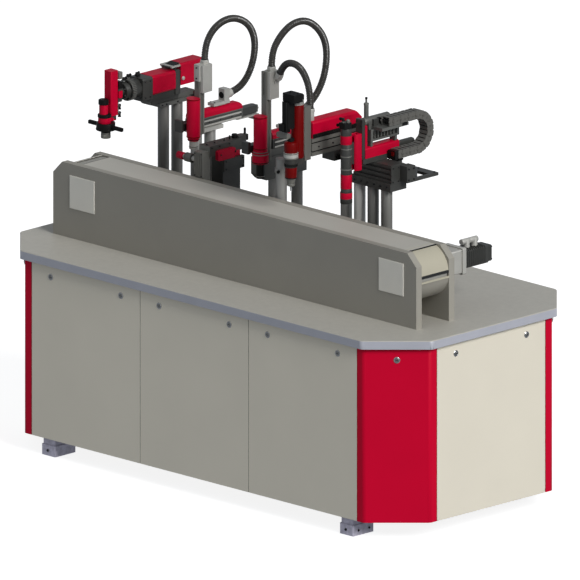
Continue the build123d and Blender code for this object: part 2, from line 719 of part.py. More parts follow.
def arm4_nose():
    """Bright nose on the spindle: ring, clutch body and tapered mouthpiece; the band on the barrel; the runner."""
    ring = upright(SPINDLE_X, SPINDLE_Y, 33, (1535, 1564))
    clutch = upright(SPINDLE_X, SPINDLE_Y, 29, (1496, 1535))
    mouth = Pos(SPINDLE_X, SPINDLE_Y, 1426.5) * Rot(180, 0, 0) * Cone(23, 15, 39)
    under = block(around(SPINDLE_X + 4, 30), (-164, -124), (1498, 1533))
    nose = ring + clutch + mouth + under
    nose -= upright(SPINDLE_X, SPINDLE_Y, 6 + RUNNING_GAP, (1400, 1446.5))
    nose -= upright(SPINDLE_X, MOTOR_Y, 29.2, (1533, 1565))
    band = upright(SPINDLE_X, MOTOR_Y, 29, (1780, 1803))
    band -= block(around(SPINDLE_X, 90), (-117, -90), (1770, 1810))
    runner = block(around(SPINDLE_X - 8, 40), (-117, -112 - SLIDE_GAP), (1545, 1750))
    return [nose, band, runner]


def arm4_bit():
    shank = upright(SPINDLE_X, SPINDLE_Y, 6, (1400, 1445))
    return shank + Pos(SPINDLE_X, SPINDLE_Y, 1384) * extrude(RegularPolygon(5, 6), 16)


# ---------------------------------------------------------------- arm 5: carriage arm with drag chain
CHAIN_X = (ARM5_X + 30, ARM5_X + 86)
CHAIN_BEND_Y = 371.0
CHAIN_BEND_Z = 1598.0
CHAIN_OUTER = 101.0
CHAIN_DEPTH = 40.0
DECK_TOP = CHAIN_BEND_Z + CHAIN_OUTER - CHAIN_DEPTH  # the upper run lies on it


def arm5_mount():
    beam = block((254, 509), (140, 242), (ARM5_TOP, ARM5_TOP + 38))
    top = ARM5_TOP + 38
    rear = block((276, 515), (242, 440), (top - 14, top))
    opening = make_face(Polyline((428, 392), (497, 322), (497, 392), close=True))
    rear -= Pos(0, 0, top - 20) * extrude(opening, 30)
    body = beam + rear
    body += block((CHAIN_X[0] + 6, CHAIN_X[1] - 6), (250, 275), (top, CHAIN_BEND_Z - CHAIN_OUTER))
    profile = block((262, 505), (150, 230), (top, 1492))
    for z in (1428, 1451, 1474):
        profile -= block((261, 506), (149, 157), around(z, 9))
        profile -= block((261, 506), (223, 231), around(z, 9))
    end_block = block((509, 556), (200, 252), (1413, 1488))
    return [body, profile, end_block]


def arm5_carriage():
    """Slide plate, ram, lift rail and the raised deck that carries the moving end of the chain."""
    low = 1492 + SLIDE_GAP
    body = block((ARM5_X - 34, ARM5_X + 28), (78, 330), (low, 1515))
    body += rounded_block((ARM5_X - 16, ARM5_X + 14), (96, 418), (1515, 1550), 9, Axis.Y)
    body += block((ARM5_X - 19, ARM5_X + 22), (78, 95), (low, 1700))
    deck = block((ARM5_X - 12, ARM5_X + 30), (126, 306), (1590, DECK_TOP - 14))
    deck -= block((ARM5_X + 20, ARM5_X + 31), (140, 292), (1600, DECK_TOP - 22))
    for y in ((128, 142), (282, 296)):
        deck += block((ARM5_X - 8, ARM5_X + 26), y, (1566, 1590))
    deck += block((ARM5_X - 14, CHAIN_X[1]), (142, 310), (DECK_TOP - 14, DECK_TOP))
    deck += along_y(ARM5_X - 2, 1680, 19, (110, 262))
    deck += block((ARM5_X - 21, ARM5_X + 17), (126, 262), (DECK_TOP - 14, 1680))
    deck += upright(ARM5_X - 4, 130, 11, (1680, 1762)) + upright(ARM5_X - 4, 130, 4.5, (1762, 1786))
    return [body, deck]


def arm5_cover():
    """Red covers of the carriage: a channel over the ram, its upright, and the round lift cover in front."""
    channel = hood((ARM5_X - 30, ARM5_X + 26), (95, 310), (1515, 1566), 12)
    channel -= block((ARM5_X - 24, ARM5_X + 20), (90, 320), (1510, 1558))
    channel += block((ARM5_X - 16, ARM5_X + 24), (95, 109), (1560, 1668))
    lift = upright(ARM5_X, 58, 19.5, (1466, 1636)) + block(around(ARM5_X, 39), (58, 78), (1466, 1636))
    lift -= block(around(ARM5_X, 16), (30, 66), (1465, 1637))
    return [channel, lift]


def arm5_tool():
    """Lift tool: a long round barrel on a slider that runs in the slot of the lift cover."""
    y = -2.0
    barrel = upright(ARM5_X, y, 22, (1324, 1672))
    for radius, low, high in ((25, 1459, 1600), (24, 1375, 1394), (27, 1324, 1347), (25, 1640, 1672)):
        barrel += upright(ARM5_X, y, radius, (low, high))
    barrel += block(around(ARM5_X, 16 - 2 * SLIDE_GAP), (y, 66 - SLIDE_GAP), (1500, 1600))
    return barrel


def arm5_sleeves():
    y = -2.0
    sleeves = []
    for radius, low, high in ((26, 1394, 1459), (28, 1347, 1375), (26, 1600, 1640)):
        ring = upright(ARM5_X, y, radius, (low, high)) - upright(ARM5_X, y, 22, (low, high))
        sleeves.append(ring)
    return sleeves


def drag_chain():
    """The chain as one solid: upper run, half-round bend at the back and lower run."""
    inner = CHAIN_OUTER - CHAIN_DEPTH
    x = CHAIN_X
    top, bottom = CHAIN_BEND_Z + CHAIN_OUTER, CHAIN_BEND_Z - CHAIN_OUTER
    bend = along_x(CHAIN_BEND_Y, CHAIN_BEND_Z, CHAIN_OUTER, x) - along_x(CHAIN_BEND_Y, CHAIN_BEND_Z, inner, x)
    bend &= block(x, (CHAIN_BEND_Y, CHAIN_BEND_Y + CHAIN_OUTER), (bottom, top))
    upper = block(x, (191, CHAIN_BEND_Y), (top - CHAIN_DEPTH, top))
    lower = block(x, (250, CHAIN_BEND_Y), (bottom, bottom + CHAIN_DEPTH))
    return bend + upper + lower


# ---------------------------------------------------------------- write every node
def main():
    os.makedirs("parts", exist_ok=True)
    write("worktop", worktop())
    write("base_frame", *base_frame())
    names = ("front_door_left", "front_door_middle", "front_door_right")
    for name, x in zip(names, panel_positions()):
        write(name, Pos(x, -BASE_WIDTH / 2, BASE_BOTTOM) * service_panel())
    ends = [Rot(0, 0, side * 90) * Pos(0, -BASE_LENGTH / 2, BASE_BOTTOM) * service_panel() for side in (-1, 1)]
    write("end_panels", *ends)
    rears = [Rot(0, 0, 180) * Pos(x, -BASE_WIDTH / 2, BASE_BOTTOM) * service_panel() for x in panel_positions()]
    write("rear_panels", *rears)
    write("corner_panels", *corner_panels())
    write("levelling_feet", *levelling_feet())

    write("conveyor_side_plates", *side_plates())
    write("conveyor_access_plates", *access_plates())
    write("conveyor_belt", belt())
    write("belt_support", *belt_support())
    write("conveyor_guards", top_cover(), *drum_guards())
    write("drive_drum", drum(DRIVE_X, SIDE_PLATE + 55))
    write("idler_drum", drum(IDLER_X, STUB))
    write("gearbox", gearbox())
    write("drive_motor", drive_motor())

    write("support_columns", *support_columns())
    write("column_flanges", *column_flanges())

    write("arm1_mount", arm1_mount())
    write("arm1_carriage", arm1_carriage())
    write("arm1_covers", *arm1_covers())
    write("arm1_wrist", arm1_wrist() + arm1_bracket())
    write("arm1_head_cover", arm1_head_cover())
    write("arm1_spindle", arm1_spindle())
    write("arm1_gripper", arm1_gripper())
    write("arm1_jaw_left", arm1_jaw(-1))
    write("arm1_jaw_right", arm1_jaw(1))

    write("arm2_mount", arm2_mount())
    write("arm2_housing", module_housing(ARM2_X, ARM2_MODULE_Z))
    write("arm2_cover", module_cover(ARM2_X, ARM2_MODULE_Z))
    write("arm2_ram", reach_ram(ARM2_X, ARM2_LIFT_Y, ARM2_MODULE_Z))
    write("arm2_lift_profile", *lift_module(ARM2_X, ARM2_LIFT_Y, (1440, ARM2_ROUTE[0][2])))
    write("arm2_lift_cover", lift_cover(ARM2_X, ARM2_LIFT_Y, [(26, 1418, 1432), (31, 1432, 1615)]))
    write("arm2_tool", lift_tool(ARM2_X, ARM2_LIFT_Y, 1380, 1575))
    write("arm2_conduit", conduit(ARM2_ROUTE))

    write("feeder_body", feeder_body(), feeder_cover())
    write("feeder_stop", feeder_stop())

    write("arm3_mount", arm3_mount())
    write("arm3_housing", module_housing(ARM3_X, ARM3_MODULE_Z))
    write("arm3_cover", module_cover(ARM3_X, ARM3_MODULE_Z))
    write("arm3_ram", reach_ram(ARM3_X, ARM3_LIFT_Y, ARM3_MODULE_Z))
    profile, holder = lift_module(ARM3_X, ARM3_LIFT_Y, (1430, ARM3_ROUTE[0][2]))
    write("arm3_lift_profile", profile, holder + conduit_socket())
    stages = [(38, 1424, 1472), (33, 1472, 1484), (31, 1484, 1643)]
    write("arm3_lift_cover", lift_cover(ARM3_X, ARM3_LIFT_Y, stages))
    write("arm3_tool", lift_tool(ARM3_X, ARM3_LIFT_Y, 1353, 1600))
    write("arm3_conduit", conduit(ARM3_ROUTE))
    write("hose_fittings", *hose_fittings())

    write("arm4_beam", arm4_beam())
    write("arm4_cover", arm4_cover())
    write("arm4_screwdriver", *arm4_screwdriver())
    write("arm4_motor", arm4_motor())
    write("arm4_nose", *arm4_nose())
    write("arm4_bit", arm4_bit())
    write("arm4_conduit", conduit(ARM4_ROUTE))

    write("arm5_mount", *arm5_mount())
    write("arm5_carriage", *arm5_carriage())
    write("arm5_cover", *arm5_cover())
    write("arm5_tool", arm5_tool(), *arm5_sleeves())
    write("drag_chain", drag_chain())


main()
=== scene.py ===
"""Looks of the handling cell. Calls are in millimetres and the scene in metres, in the CAD frame."""

import math

import bmesh
import bpy
from mathutils import Matrix, Vector


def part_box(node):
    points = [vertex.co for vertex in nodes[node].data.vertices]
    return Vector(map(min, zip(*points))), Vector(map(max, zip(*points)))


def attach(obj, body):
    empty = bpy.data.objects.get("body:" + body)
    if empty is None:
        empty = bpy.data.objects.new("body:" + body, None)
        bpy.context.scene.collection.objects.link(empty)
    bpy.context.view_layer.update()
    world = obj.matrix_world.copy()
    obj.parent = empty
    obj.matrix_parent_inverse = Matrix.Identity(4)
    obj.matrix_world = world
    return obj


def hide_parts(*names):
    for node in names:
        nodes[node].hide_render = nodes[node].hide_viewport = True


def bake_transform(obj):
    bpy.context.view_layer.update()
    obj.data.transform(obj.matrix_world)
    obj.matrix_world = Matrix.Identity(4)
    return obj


MM = 0.001
LEFT, RIGHT = (-1, 0, 0), (1, 0, 0)
FRONT, REAR = (0, -1, 0), (0, 1, 0)
DOWN, UP = (0, 0, -1), (0, 0, 1)
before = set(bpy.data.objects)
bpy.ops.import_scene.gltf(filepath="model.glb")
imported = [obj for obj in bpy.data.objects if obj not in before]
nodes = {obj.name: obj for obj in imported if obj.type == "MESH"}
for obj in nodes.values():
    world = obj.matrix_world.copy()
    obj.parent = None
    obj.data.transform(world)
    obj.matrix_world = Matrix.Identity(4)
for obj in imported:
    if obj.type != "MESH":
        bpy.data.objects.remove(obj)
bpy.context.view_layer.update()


# ---------------------------------------------------------------- materials
def linear(*rgb):
    """Scene colour of an 8-bit display colour."""
    return [((c / 255 + 0.055) / 1.055) ** 2.4 if c > 10 else c / 255 / 12.92 for c in rgb]


def put(node, **values):
    """Sets the node's sockets by name, with _ for a space, and gives the node back."""
    for socket, value in values.items():
        node.inputs[socket.replace("_", " ")].default_value = value
    return node


def surface(name, colour, roughness, metallic=0.0, mottle=0.06, mottle_scale=9.0, grain=900.0, relief=0.05,
            stretch=(1, 1, 1), wear=0.0, coat=0.0, specular=0.5):
    """Procedural finish: broad tones, fine grain in relief and roughness, lighter worn edges."""
    colour = linear(*colour)
    material = bpy.data.materials.new(name)
    material.use_nodes = True
    tree = material.node_tree
    link = tree.links.new

    def add(kind, **values):
        return put(tree.nodes.new("ShaderNode" + kind), **values)

    shader = put(tree.nodes["Principled BSDF"], Metallic=metallic, Coat_Weight=coat, Coat_Roughness=0.15,
                 Specular_IOR_Level=specular)
    place = add("TexCoord")
    mapping = add("Mapping", Scale=stretch)
    link(place.outputs["Object"], mapping.inputs["Vector"])

    broad = add("TexNoise", Scale=mottle_scale, Detail=4)
    link(place.outputs["Object"], broad.inputs["Vector"])
    tones = add("ValToRGB")
    tones.color_ramp.elements[0].position = 0.3
    tones.color_ramp.elements[1].position = 0.7
    tones.color_ramp.elements[0].color = [c * (1 - mottle) for c in colour] + [1]
    tones.color_ramp.elements[1].color = [min(1, c * (1 + mottle)) for c in colour] + [1]
    link(broad.outputs["Fac"], tones.inputs["Fac"])
    last = tones.outputs["Color"]

    fine = add("TexNoise", Scale=grain, Detail=3)
    link(mapping.outputs["Vector"], fine.inputs["Vector"])

    if wear:
        geometry = add("NewGeometry")
        edges = add("MapRange", From_Min=0.52, From_Max=0.62, To_Max=wear)
        link(geometry.outputs["Pointiness"], edges.inputs["Value"])
        mix = add("Mix")
        mix.data_type = "RGBA"
        put(mix, B=[min(1, c * 1.6 + 0.05) for c in colour] + [1])
        link(edges.outputs["Result"], mix.inputs["Factor"])
        link(last, mix.inputs["A"])
        last = mix.outputs["Result"]
    link(last, shader.inputs["Base Color"])

    gloss = add("MapRange", To_Min=max(0.04, roughness - 0.07), To_Max=min(1.0, roughness + 0.07))
    link(fine.outputs["Fac"], gloss.inputs["Value"])
    link(gloss.outputs["Result"], shader.inputs["Roughness"])

    bump = add("Bump", Strength=relief, Distance=0.0006)
    link(fine.outputs["Fac"], bump.inputs["Height"])
    link(bump.outputs["Normal"], shader.inputs["Normal"])
    return material


CREAM = surface("cream_powder_coat", (225, 217, 199), 0.5, mottle=0.02, mottle_scale=3, grain=1500,
                relief=0.12)
RED_PANEL = surface("red_powder_coat", (200, 0, 44), 0.45, mottle=0.03, mottle_scale=3, grain=1500,
                    relief=0.1, specular=0.1)
WORKTOP = surface("worktop_laminate", (180, 176, 166), 0.45, mottle=0.035, mottle_scale=40, grain=700,
                  relief=0.06)
EDGE_BAND = surface("worktop_edge_band", (173, 174, 182), 0.4, mottle=0.03, mottle_scale=12, relief=0.05)
TAUPE = surface("conveyor_paint", (146, 142, 132), 0.5, mottle=0.03, mottle_scale=5, grain=1200,
                relief=0.12, wear=0.3)
GUARD = surface("guard_paint", (175, 169, 150), 0.5, mottle=0.03, mottle_scale=5, grain=1200, relief=0.1,
                wear=0.2)
# A lighter copy of the guard paint, as painted light: on the top of the conveyor guards and on the left
# drum sheet, which faces away from the key light.
COVER_PAINTED_LIGHT = surface("top_cover_painted_light", (184, 180, 170), 0.5, mottle=0.04, mottle_scale=4, grain=1200,
                      relief=0.1)
ACCESS = surface("access_plate_paint", (222, 218, 207), 0.5, mottle=0.02, mottle_scale=9, grain=1200,
                 relief=0.1)
BELT = surface("belt_fabric", (152, 150, 143), 0.75, mottle=0.05, mottle_scale=14, grain=900, relief=0.35,
               stretch=(0.3, 1, 1))
STEEL = surface("turned_steel", (150, 150, 148), 0.32, metallic=0.9, mottle=0.05, grain=500, relief=0.08,
                stretch=(1, 1, 12))
COLUMN = surface("column_tube", (152, 151, 147), 0.4, metallic=0.3, mottle=0.04, mottle_scale=6, grain=700,
                 relief=0.06, stretch=(1, 1, 0.05))
# A darker copy of the column finish, as painted shade on the columns of arm 1 and the two right columns of
# arm 5.
COLUMN_PAINTED_SHADE = surface("column_tube_painted_shade", (120, 119, 115), 0.38, metallic=0.3, mottle=0.04, mottle_scale=6,
                      grain=700, relief=0.06, stretch=(1, 1, 0.05))
# A paler copy of the column finish, as a painted highlight on the left column of arm 5.
COLUMN_PAINTED_LIGHT = surface("column_tube_painted_light", (196, 194, 189), 0.4, metallic=0.2, mottle=0.04, mottle_scale=6,
                      grain=700, relief=0.06, stretch=(1, 1, 0.05))
ALLOY = surface("natural_anodised_alloy", (182, 180, 173), 0.42, metallic=0.25, mottle=0.04,
                mottle_scale=20, grain=800, relief=0.06, stretch=(1, 1, 0.08), wear=0.2)
GREY_ALLOY = surface("grey_anodised_alloy", (112, 111, 105), 0.42, metallic=0.25, mottle=0.05,
                     mottle_scale=18, grain=800, relief=0.06, stretch=(0.1, 1, 1), wear=0.25)
DARK_ALLOY = surface("dark_anodised_alloy", (90, 90, 86), 0.42, metallic=0.2, mottle=0.07, mottle_scale=22,
                     grain=900, relief=0.08, wear=0.3)
BLACK_ALLOY = surface("black_anodised_alloy", (60, 60, 57), 0.42, metallic=0.25, mottle=0.1,
                      mottle_scale=25, grain=900, relief=0.08, wear=0.35)
BLACK = surface("black_paint", (14, 14, 13), 0.42, mottle=0.12, mottle_scale=20, grain=1000, relief=0.12,
                wear=0.25, specular=0.15)
RUBBER = surface("black_rubber", (24, 24, 24), 0.65, mottle=0.12, mottle_scale=30, grain=700, relief=0.2)
RED = surface("red_moulded_cover", (184, 0, 43), 0.36, mottle=0.04, mottle_scale=15, grain=1400,
              relief=0.08, wear=0.08, specular=0.12)
CRIMSON = surface("crimson_cover", (158, 0, 37), 0.38, mottle=0.05, mottle_scale=15, grain=1400,
                  relief=0.08, wear=0.1, specular=0.2)
DARK_RED = surface("dark_red_barrel", (104, 2, 2), 0.34, mottle=0.06, mottle_scale=18, grain=1400,
                   relief=0.06, wear=0.08, specular=0.12)
CONDUIT = surface("conduit_polyamide", (56, 54, 50), 0.28, mottle=0.06, mottle_scale=30, grain=1200,
                  relief=0.06, specular=0.5, coat=0.1)
CHAIN = surface("chain_polyamide", (80, 78, 73), 0.5, mottle=0.07, mottle_scale=40, grain=1000, relief=0.12,
                wear=0.3)
FOOT = surface("foot_casting", (194, 189, 204), 0.55, mottle=0.2, mottle_scale=60, grain=400, relief=0.35,
               wear=0.3)
FRAME = surface("frame_paint", (92, 96, 104), 0.5, mottle=0.04, mottle_scale=8, grain=900, relief=0.1)
SCREW = surface("black_oxide_screw", (52, 52, 54), 0.35, metallic=0.8, mottle=0.1, mottle_scale=60,
                grain=900)
CHROME = surface("bright_steel", (190, 190, 190), 0.22, metallic=0.9, mottle=0.05, mottle_scale=50,
                 grain=900)


# ---------------------------------------------------------------- mesh work
class Piece:
    """Mesh work for one piece, in millimetres in the CAD frame. done() makes the object."""

    def __init__(self, name, body, slot, *materials):
        self.name, self.body, self.slot, self.materials = name, body, slot, materials
        self.mesh = bmesh.new()

    def _close(self, faces, paint):
        bmesh.ops.recalc_face_normals(self.mesh, faces=faces)
        for face in faces:
            face.material_index = paint
            face.smooth = True

    def prism(self, points, axis, low, high, paint=0):
        """An outline extruded along X, Y or Z. Its points have the other two coordinates."""
        def place(p, w):
            return Vector({"X": (w, *p), "Y": (p[0], w, p[1]), "Z": (*p, w)}[axis]) * MM

        ends = [[self.mesh.verts.new(place(p, w)) for p in points] for w in (low, high)]
        faces = [self.mesh.faces.new(end) for end in ends]
        for i in range(len(points)):
            j = (i + 1) % len(points)
            faces.append(self.mesh.faces.new((ends[0][i], ends[0][j], ends[1][j], ends[1][i])))
        self._close(faces, paint)
        return self

    def box(self, x, y, z, paint=0, corner=0.0, axis="Z"):
        """A box between (low, high) pairs, with the edges along one axis rounded by corner."""
        spans = {"X": (y, z, x), "Y": (x, z, y), "Z": (x, y, z)}[axis]
        return self.prism(rounded(spans[0], spans[1], corner), axis, *spans[2], paint)

    def lathe(self, base, axis, profile, paint=0, segments=32, ring=False):
        """A turned shape from (radius, distance along the axis). ring joins the last point to the first."""
        turn = Vector(axis).to_track_quat("Z", "Y")
        base = Vector(base)
        if not ring:
            profile = [(0, profile[0][1])] + list(profile) + [(0, profile[-1][1])]
        rings = []
        for radius, along in profile:
            count = segments if radius else 1
            angles = [2 * math.pi * i / segments for i in range(count)]
            points = [Vector((radius * math.cos(a), radius * math.sin(a), along)) for a in angles]
            rings.append([self.mesh.verts.new((base + turn @ p) * MM) for p in points])
        pairs = list(zip(rings, rings[1:])) + ([(rings[-1], rings[0])] if ring else [])
        faces = []
        for a, b in pairs:
            for i in range(segments):
                j = (i + 1) % segments
                corners = [a[i % len(a)], a[j % len(a)], b[j % len(b)], b[i % len(b)]]
                corners = [v for k, v in enumerate(corners) if v not in corners[:k]]
                if len(corners) > 2:
                    faces.append(self.mesh.faces.new(corners))
        self._close(faces, paint)
        return self

    def rod(self, start, finish, radius, paint=0, segments=24):
        """A round bar between two points."""
        start, finish = Vector(start), Vector(finish)
        span = finish - start
        return self.lathe(start, span, [(radius, 0), (radius, span.length)], paint, segments)

    def knurled(self, base, axis, radius, length, paint=0, teeth=28):
        """A turned grip with straight knurls."""
        turn = Vector(axis).to_track_quat("Z", "Y")
        points = []
        for i in range(teeth * 2):
            r = radius if i % 2 else radius * 0.94
            angle = math.pi * i / teeth
            points.append(Vector((r * math.cos(angle), r * math.sin(angle), 0)))
        base = Vector(base)
        ends = []
        for along, shrink in ((0, 0.96), (1.2, 1), (length - 1.2, 1), (length, 0.96)):
            lift = Vector((0, 0, along))
            ends.append([self.mesh.verts.new((base + turn @ (p * shrink + lift)) * MM) for p in points])
        faces = [self.mesh.faces.new(ends[0]), self.mesh.faces.new(ends[-1])]
        for a, b in zip(ends, ends[1:]):
            for i in range(len(points)):
                j = (i + 1) % len(points)
                faces.append(self.mesh.faces.new((a[i], a[j], b[j], b[i])))
        self._close(faces, paint)
        return self

    def screw(self, at, axis, radius, paint=0):
        """A socket head cap screw standing on a face: a turned head with a hexagonal socket."""
        height, socket = radius * 0.9, radius * 0.5
        head = [(radius, 0), (radius, height * 0.82), (radius * 0.86, height)]
        hole = [(socket, height), (socket * 0.95, height * 0.45)]
        return self.lathe(at, axis, head + hole, paint, 18)

    def tube(self, points, radius, paint=0, segments=12, ribs=None):
        """A round tube through points close together. ribs is (pitch, depth) of its corrugation."""
        points = [Vector(p) for p in points]
        steps = [b - a for a, b in zip(points, points[1:])]
        side = steps[0].orthogonal().normalized()
        travelled, rings = 0.0, []
        for i, p in enumerate(points):
            before, after = steps[max(i - 1, 0)], steps[min(i, len(steps) - 1)]
            heading = (before.normalized() + after.normalized()).normalized()
            side = (side - heading * side.dot(heading)).normalized()
            other = heading.cross(side)
            r = radius
            if ribs and 0 < i < len(points) - 1:
                phase = (travelled / ribs[0]) % 1
                r -= ribs[1] * (0.5 - 0.5 * math.cos(2 * math.pi * phase))
            angles = [2 * math.pi * k / segments for k in range(segments)]
            rings.append([self.mesh.verts.new((p + side * r * math.cos(a) + other * r * math.sin(a)) * MM)
                          for a in angles])
            travelled += steps[i].length if i < len(steps) else 0
        faces = [self.mesh.faces.new(rings[0]), self.mesh.faces.new(rings[-1])]
        for a, b in zip(rings, rings[1:]):
            for i in range(segments):
                j = (i + 1) % segments
                faces.append(self.mesh.faces.new((a[i], a[j], b[j], b[i])))
        self._close(faces, paint)
        return self

    def done(self, bevel):
        """Makes the object, gives its edges a small real bevel and puts it on its body."""
        data = bpy.data.meshes.new(self.name)
        self.mesh.to_mesh(data)
        self.mesh.free()
        for material in self.materials:
            data.materials.append(material)
        data.set_sharp_from_angle(angle=math.radians(33))
        made = bpy.data.objects.new(self.name, data)
        bpy.context.scene.collection.objects.link(made)
        if bevel:
            soften(made, bevel)
        if self.body:
            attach(made, self.body)
        return made


def soften(made, width):
    """A small real bevel on every sharp edge, with its width in millimetres."""
    modifier = made.modifiers.new("edges", "BEVEL")
    modifier.width = width * MM
    modifier.segments = 2
    modifier.limit_method = "ANGLE"
    modifier.angle_limit = math.radians(33)
    modifier.use_clamp_overlap = True
    modifier.harden_normals = True


def rounded(u, v, radius):
    """Outline of a rectangle between (low, high) pairs, its corners rounded."""
    if not radius:
        return [(u[0], v[0]), (u[1], v[0]), (u[1], v[1]), (u[0], v[1])]
    points, steps = [], 5  # straight steps in each corner
    centres = [(u[1] - radius, v[0] + radius, -90), (u[1] - radius, v[1] - radius, 0),
               (u[0] + radius, v[1] - radius, 90), (u[0] + radius, v[0] + radius, 180)]
    for cu, cv, start in centres:
        for i in range(steps + 1):
            angle = math.radians(start + 90 * i / steps)
            points.append((cu + radius * math.cos(angle), cv + radius * math.sin(angle)))
    return points


def around(middle, width):
    """The (low, high) pair of a span."""
    return (middle - width / 2, middle + width / 2)


def bolt_circle(count, radius, start):
    """Offsets of evenly spaced bolts from their circle's middle, the first at start degrees."""
    angles = [math.radians(start + 360 * i / count) for i in range(count)]
    return [(radius * math.cos(angle), radius * math.sin(angle)) for angle in angles]


def finish_node(name, material, bevel):
    """Keeps a CAD node as it is, welds its mesh, bevels its edges and gives it its finish."""
    node = nodes[name]
    node.data.materials.clear()
    node.data.materials.append(material)
    weld = node.modifiers.new("weld", "WELD")
    weld.merge_threshold = 0.00001
    if bevel:
        soften(node, bevel)


FINISHES = (  # finish, bevel in millimetres, and the CAD nodes that have them
    (WORKTOP, 0, "worktop"),
    (FRAME, 2, "base_frame"),
    (CREAM, 1.2, "front_door_left front_door_middle front_door_right end_panels rear_panels"),
    (RED_PANEL, 0.5, "corner_panels"),
    (FOOT, 2, "levelling_feet"),
    (TAUPE, 1.5, "conveyor_side_plates"),
    (ACCESS, 0.8, "conveyor_access_plates"),
    (BELT, 0.5, "conveyor_belt"),
    (STEEL, 0.5, "belt_support"),
    (GUARD, 0.4, "conveyor_guards"),
    (STEEL, 0.6, "drive_drum idler_drum"),
    (ALLOY, 1.5, "gearbox"),
    (BLACK_ALLOY, 1.5, "drive_motor"),
    (COLUMN, 0.8, "support_columns"),
    (BLACK_ALLOY, 0.8, "column_flanges arm2_ram arm3_ram arm5_tool"),
    (DARK_ALLOY, 1, "arm1_mount arm2_housing arm5_carriage"),
    (BLACK_ALLOY, 1, "arm1_carriage arm1_wrist feeder_body arm3_housing arm5_mount"),
    (RED, 1, "arm1_covers arm1_head_cover arm2_lift_cover arm3_lift_cover arm4_cover arm5_cover"),
    (RED, 0.8, "arm1_spindle arm2_cover"),
    (BLACK, 1, "arm1_gripper"),
    (BLACK, 0.8, "arm1_jaw_left arm1_jaw_right arm3_tool"),
    (ALLOY, 1, "arm2_mount feeder_stop hose_fittings"),
    (GREY_ALLOY, 0.8, "arm2_lift_profile arm3_lift_profile"),
    (ALLOY, 0.8, "arm2_tool arm4_nose"),
    (CONDUIT, 0, "arm2_conduit arm3_conduit arm4_conduit"),
    (DARK_ALLOY, 1.2, "arm3_mount"),
    (CRIMSON, 0.8, "arm3_cover"),
    (GREY_ALLOY, 1, "arm4_beam"),
    (DARK_RED, 1, "arm4_screwdriver"),
    (BLACK, 1.5, "arm4_motor"),
    (CHROME, 0.3, "arm4_bit"),
    (CHAIN, 0, "drag_chain"),
)
for finish, width, names in FINISHES:
    for node_name in names.split():
        finish_node(node_name, finish, width)


# ---------------------------------------------------------------- second finishes, painted light and painted shade on CAD nodes
def paint_where(name, material, test):
    """A second finish on the faces of a CAD node that pass test(x, y, z, normal), in millimetres. Some
    calls use it for painted light and painted shade.
    """
    data = nodes[name].data
    data.materials.append(material)
    for face in data.polygons:
        x, y, z = face.center / MM
        if test(x, y, z, face.normal):
            face.material_index = len(data.materials) - 1


ARM1_X, ARM2_X, FEEDER_X, ARM3_X, ARM4_X, ARM5_X = -977, -687, -500, -189, 187, 369
SPINDLE = (199.5, -184)
LIFT_SIDE = 60  # the lift profiles of arms 2 and 3 stand this far to the right of their modules
ARM2_LIFT_Y, ARM3_LIFT_Y = 60, -12

paint_where("worktop", EDGE_BAND, lambda x, y, z, n: abs(n.z) < 0.3)
# The columns have one finish; the darker and paler copies below are painted shade and a painted highlight.
paint_where("support_columns", COLUMN_PAINTED_SHADE, lambda x, y, z, n: x < -900)
paint_where("support_columns", COLUMN_PAINTED_LIGHT, lambda x, y, z, n: 250 < x < 320)
paint_where("support_columns", COLUMN_PAINTED_SHADE, lambda x, y, z, n: x > 330)
# The top of the guards takes a lighter paint, as painted light.
paint_where("conveyor_guards", COVER_PAINTED_LIGHT, lambda x, y, z, n: z > 1275)
# Below z 1142 the guards take the darker conveyor paint, as painted shade on their lower part.
paint_where("conveyor_guards", TAUPE, lambda x, y, z, n: z < 1142)
paint_where("drive_motor", ALLOY, lambda x, y, z, n: z > 1209)
# The top box at the feeder's right takes a darker red than the other red covers, as painted shade.
paint_where("feeder_body", CRIMSON, lambda x, y, z, n: x > FEEDER_X + 33.5 and z > 1356.5)
paint_where("feeder_body", GREY_ALLOY, lambda x, y, z, n: y < -25)
paint_where("feeder_stop", CRIMSON, lambda x, y, z, n: x < FEEDER_X - 111)
paint_where("feeder_stop", DARK_ALLOY, lambda x, y, z, n: FEEDER_X - 99 < x < FEEDER_X - 57)
paint_where("arm1_covers", ALLOY, lambda x, y, z, n: y < 250 and z > 1657)
paint_where("arm1_spindle", BLACK_ALLOY, lambda x, y, z, n: y > -170 and z > 1501)
for arm, lift_x, lift_y in (("arm2", ARM2_X, ARM2_LIFT_Y), ("arm3", ARM3_X, ARM3_LIFT_Y)):
    side = lift_x + LIFT_SIDE
    paint_where(f"{arm}_lift_profile", ALLOY, lambda x, y, z, n: x > side + 16.5 or y > lift_y + 16.5)
paint_where("arm4_beam", GREY_ALLOY, lambda x, y, z, n: y < -71.5)
paint_where("arm4_beam", BLACK_ALLOY, lambda x, y, z, n: y > -71 and z < 1526)
paint_where("arm4_nose", BLACK_ALLOY, lambda x, y, z, n: 1496 < z < 1534)
paint_where("arm4_nose", GREY_ALLOY, lambda x, y, z, n: z < 1447)
SLEEVES = ((1347.5, 1374.5), (1394.5, 1458.5), (1600.5, 1639.5))
paint_where("arm5_tool", RED, lambda x, y, z, n: any(low < z < high for low, high in SLEEVES))
paint_where("arm5_tool", COLUMN, lambda x, y, z, n: z < 1324.5)
paint_where("arm5_carriage", BLACK_ALLOY, lambda x, y, z, n: z < 1551 or y < 96)


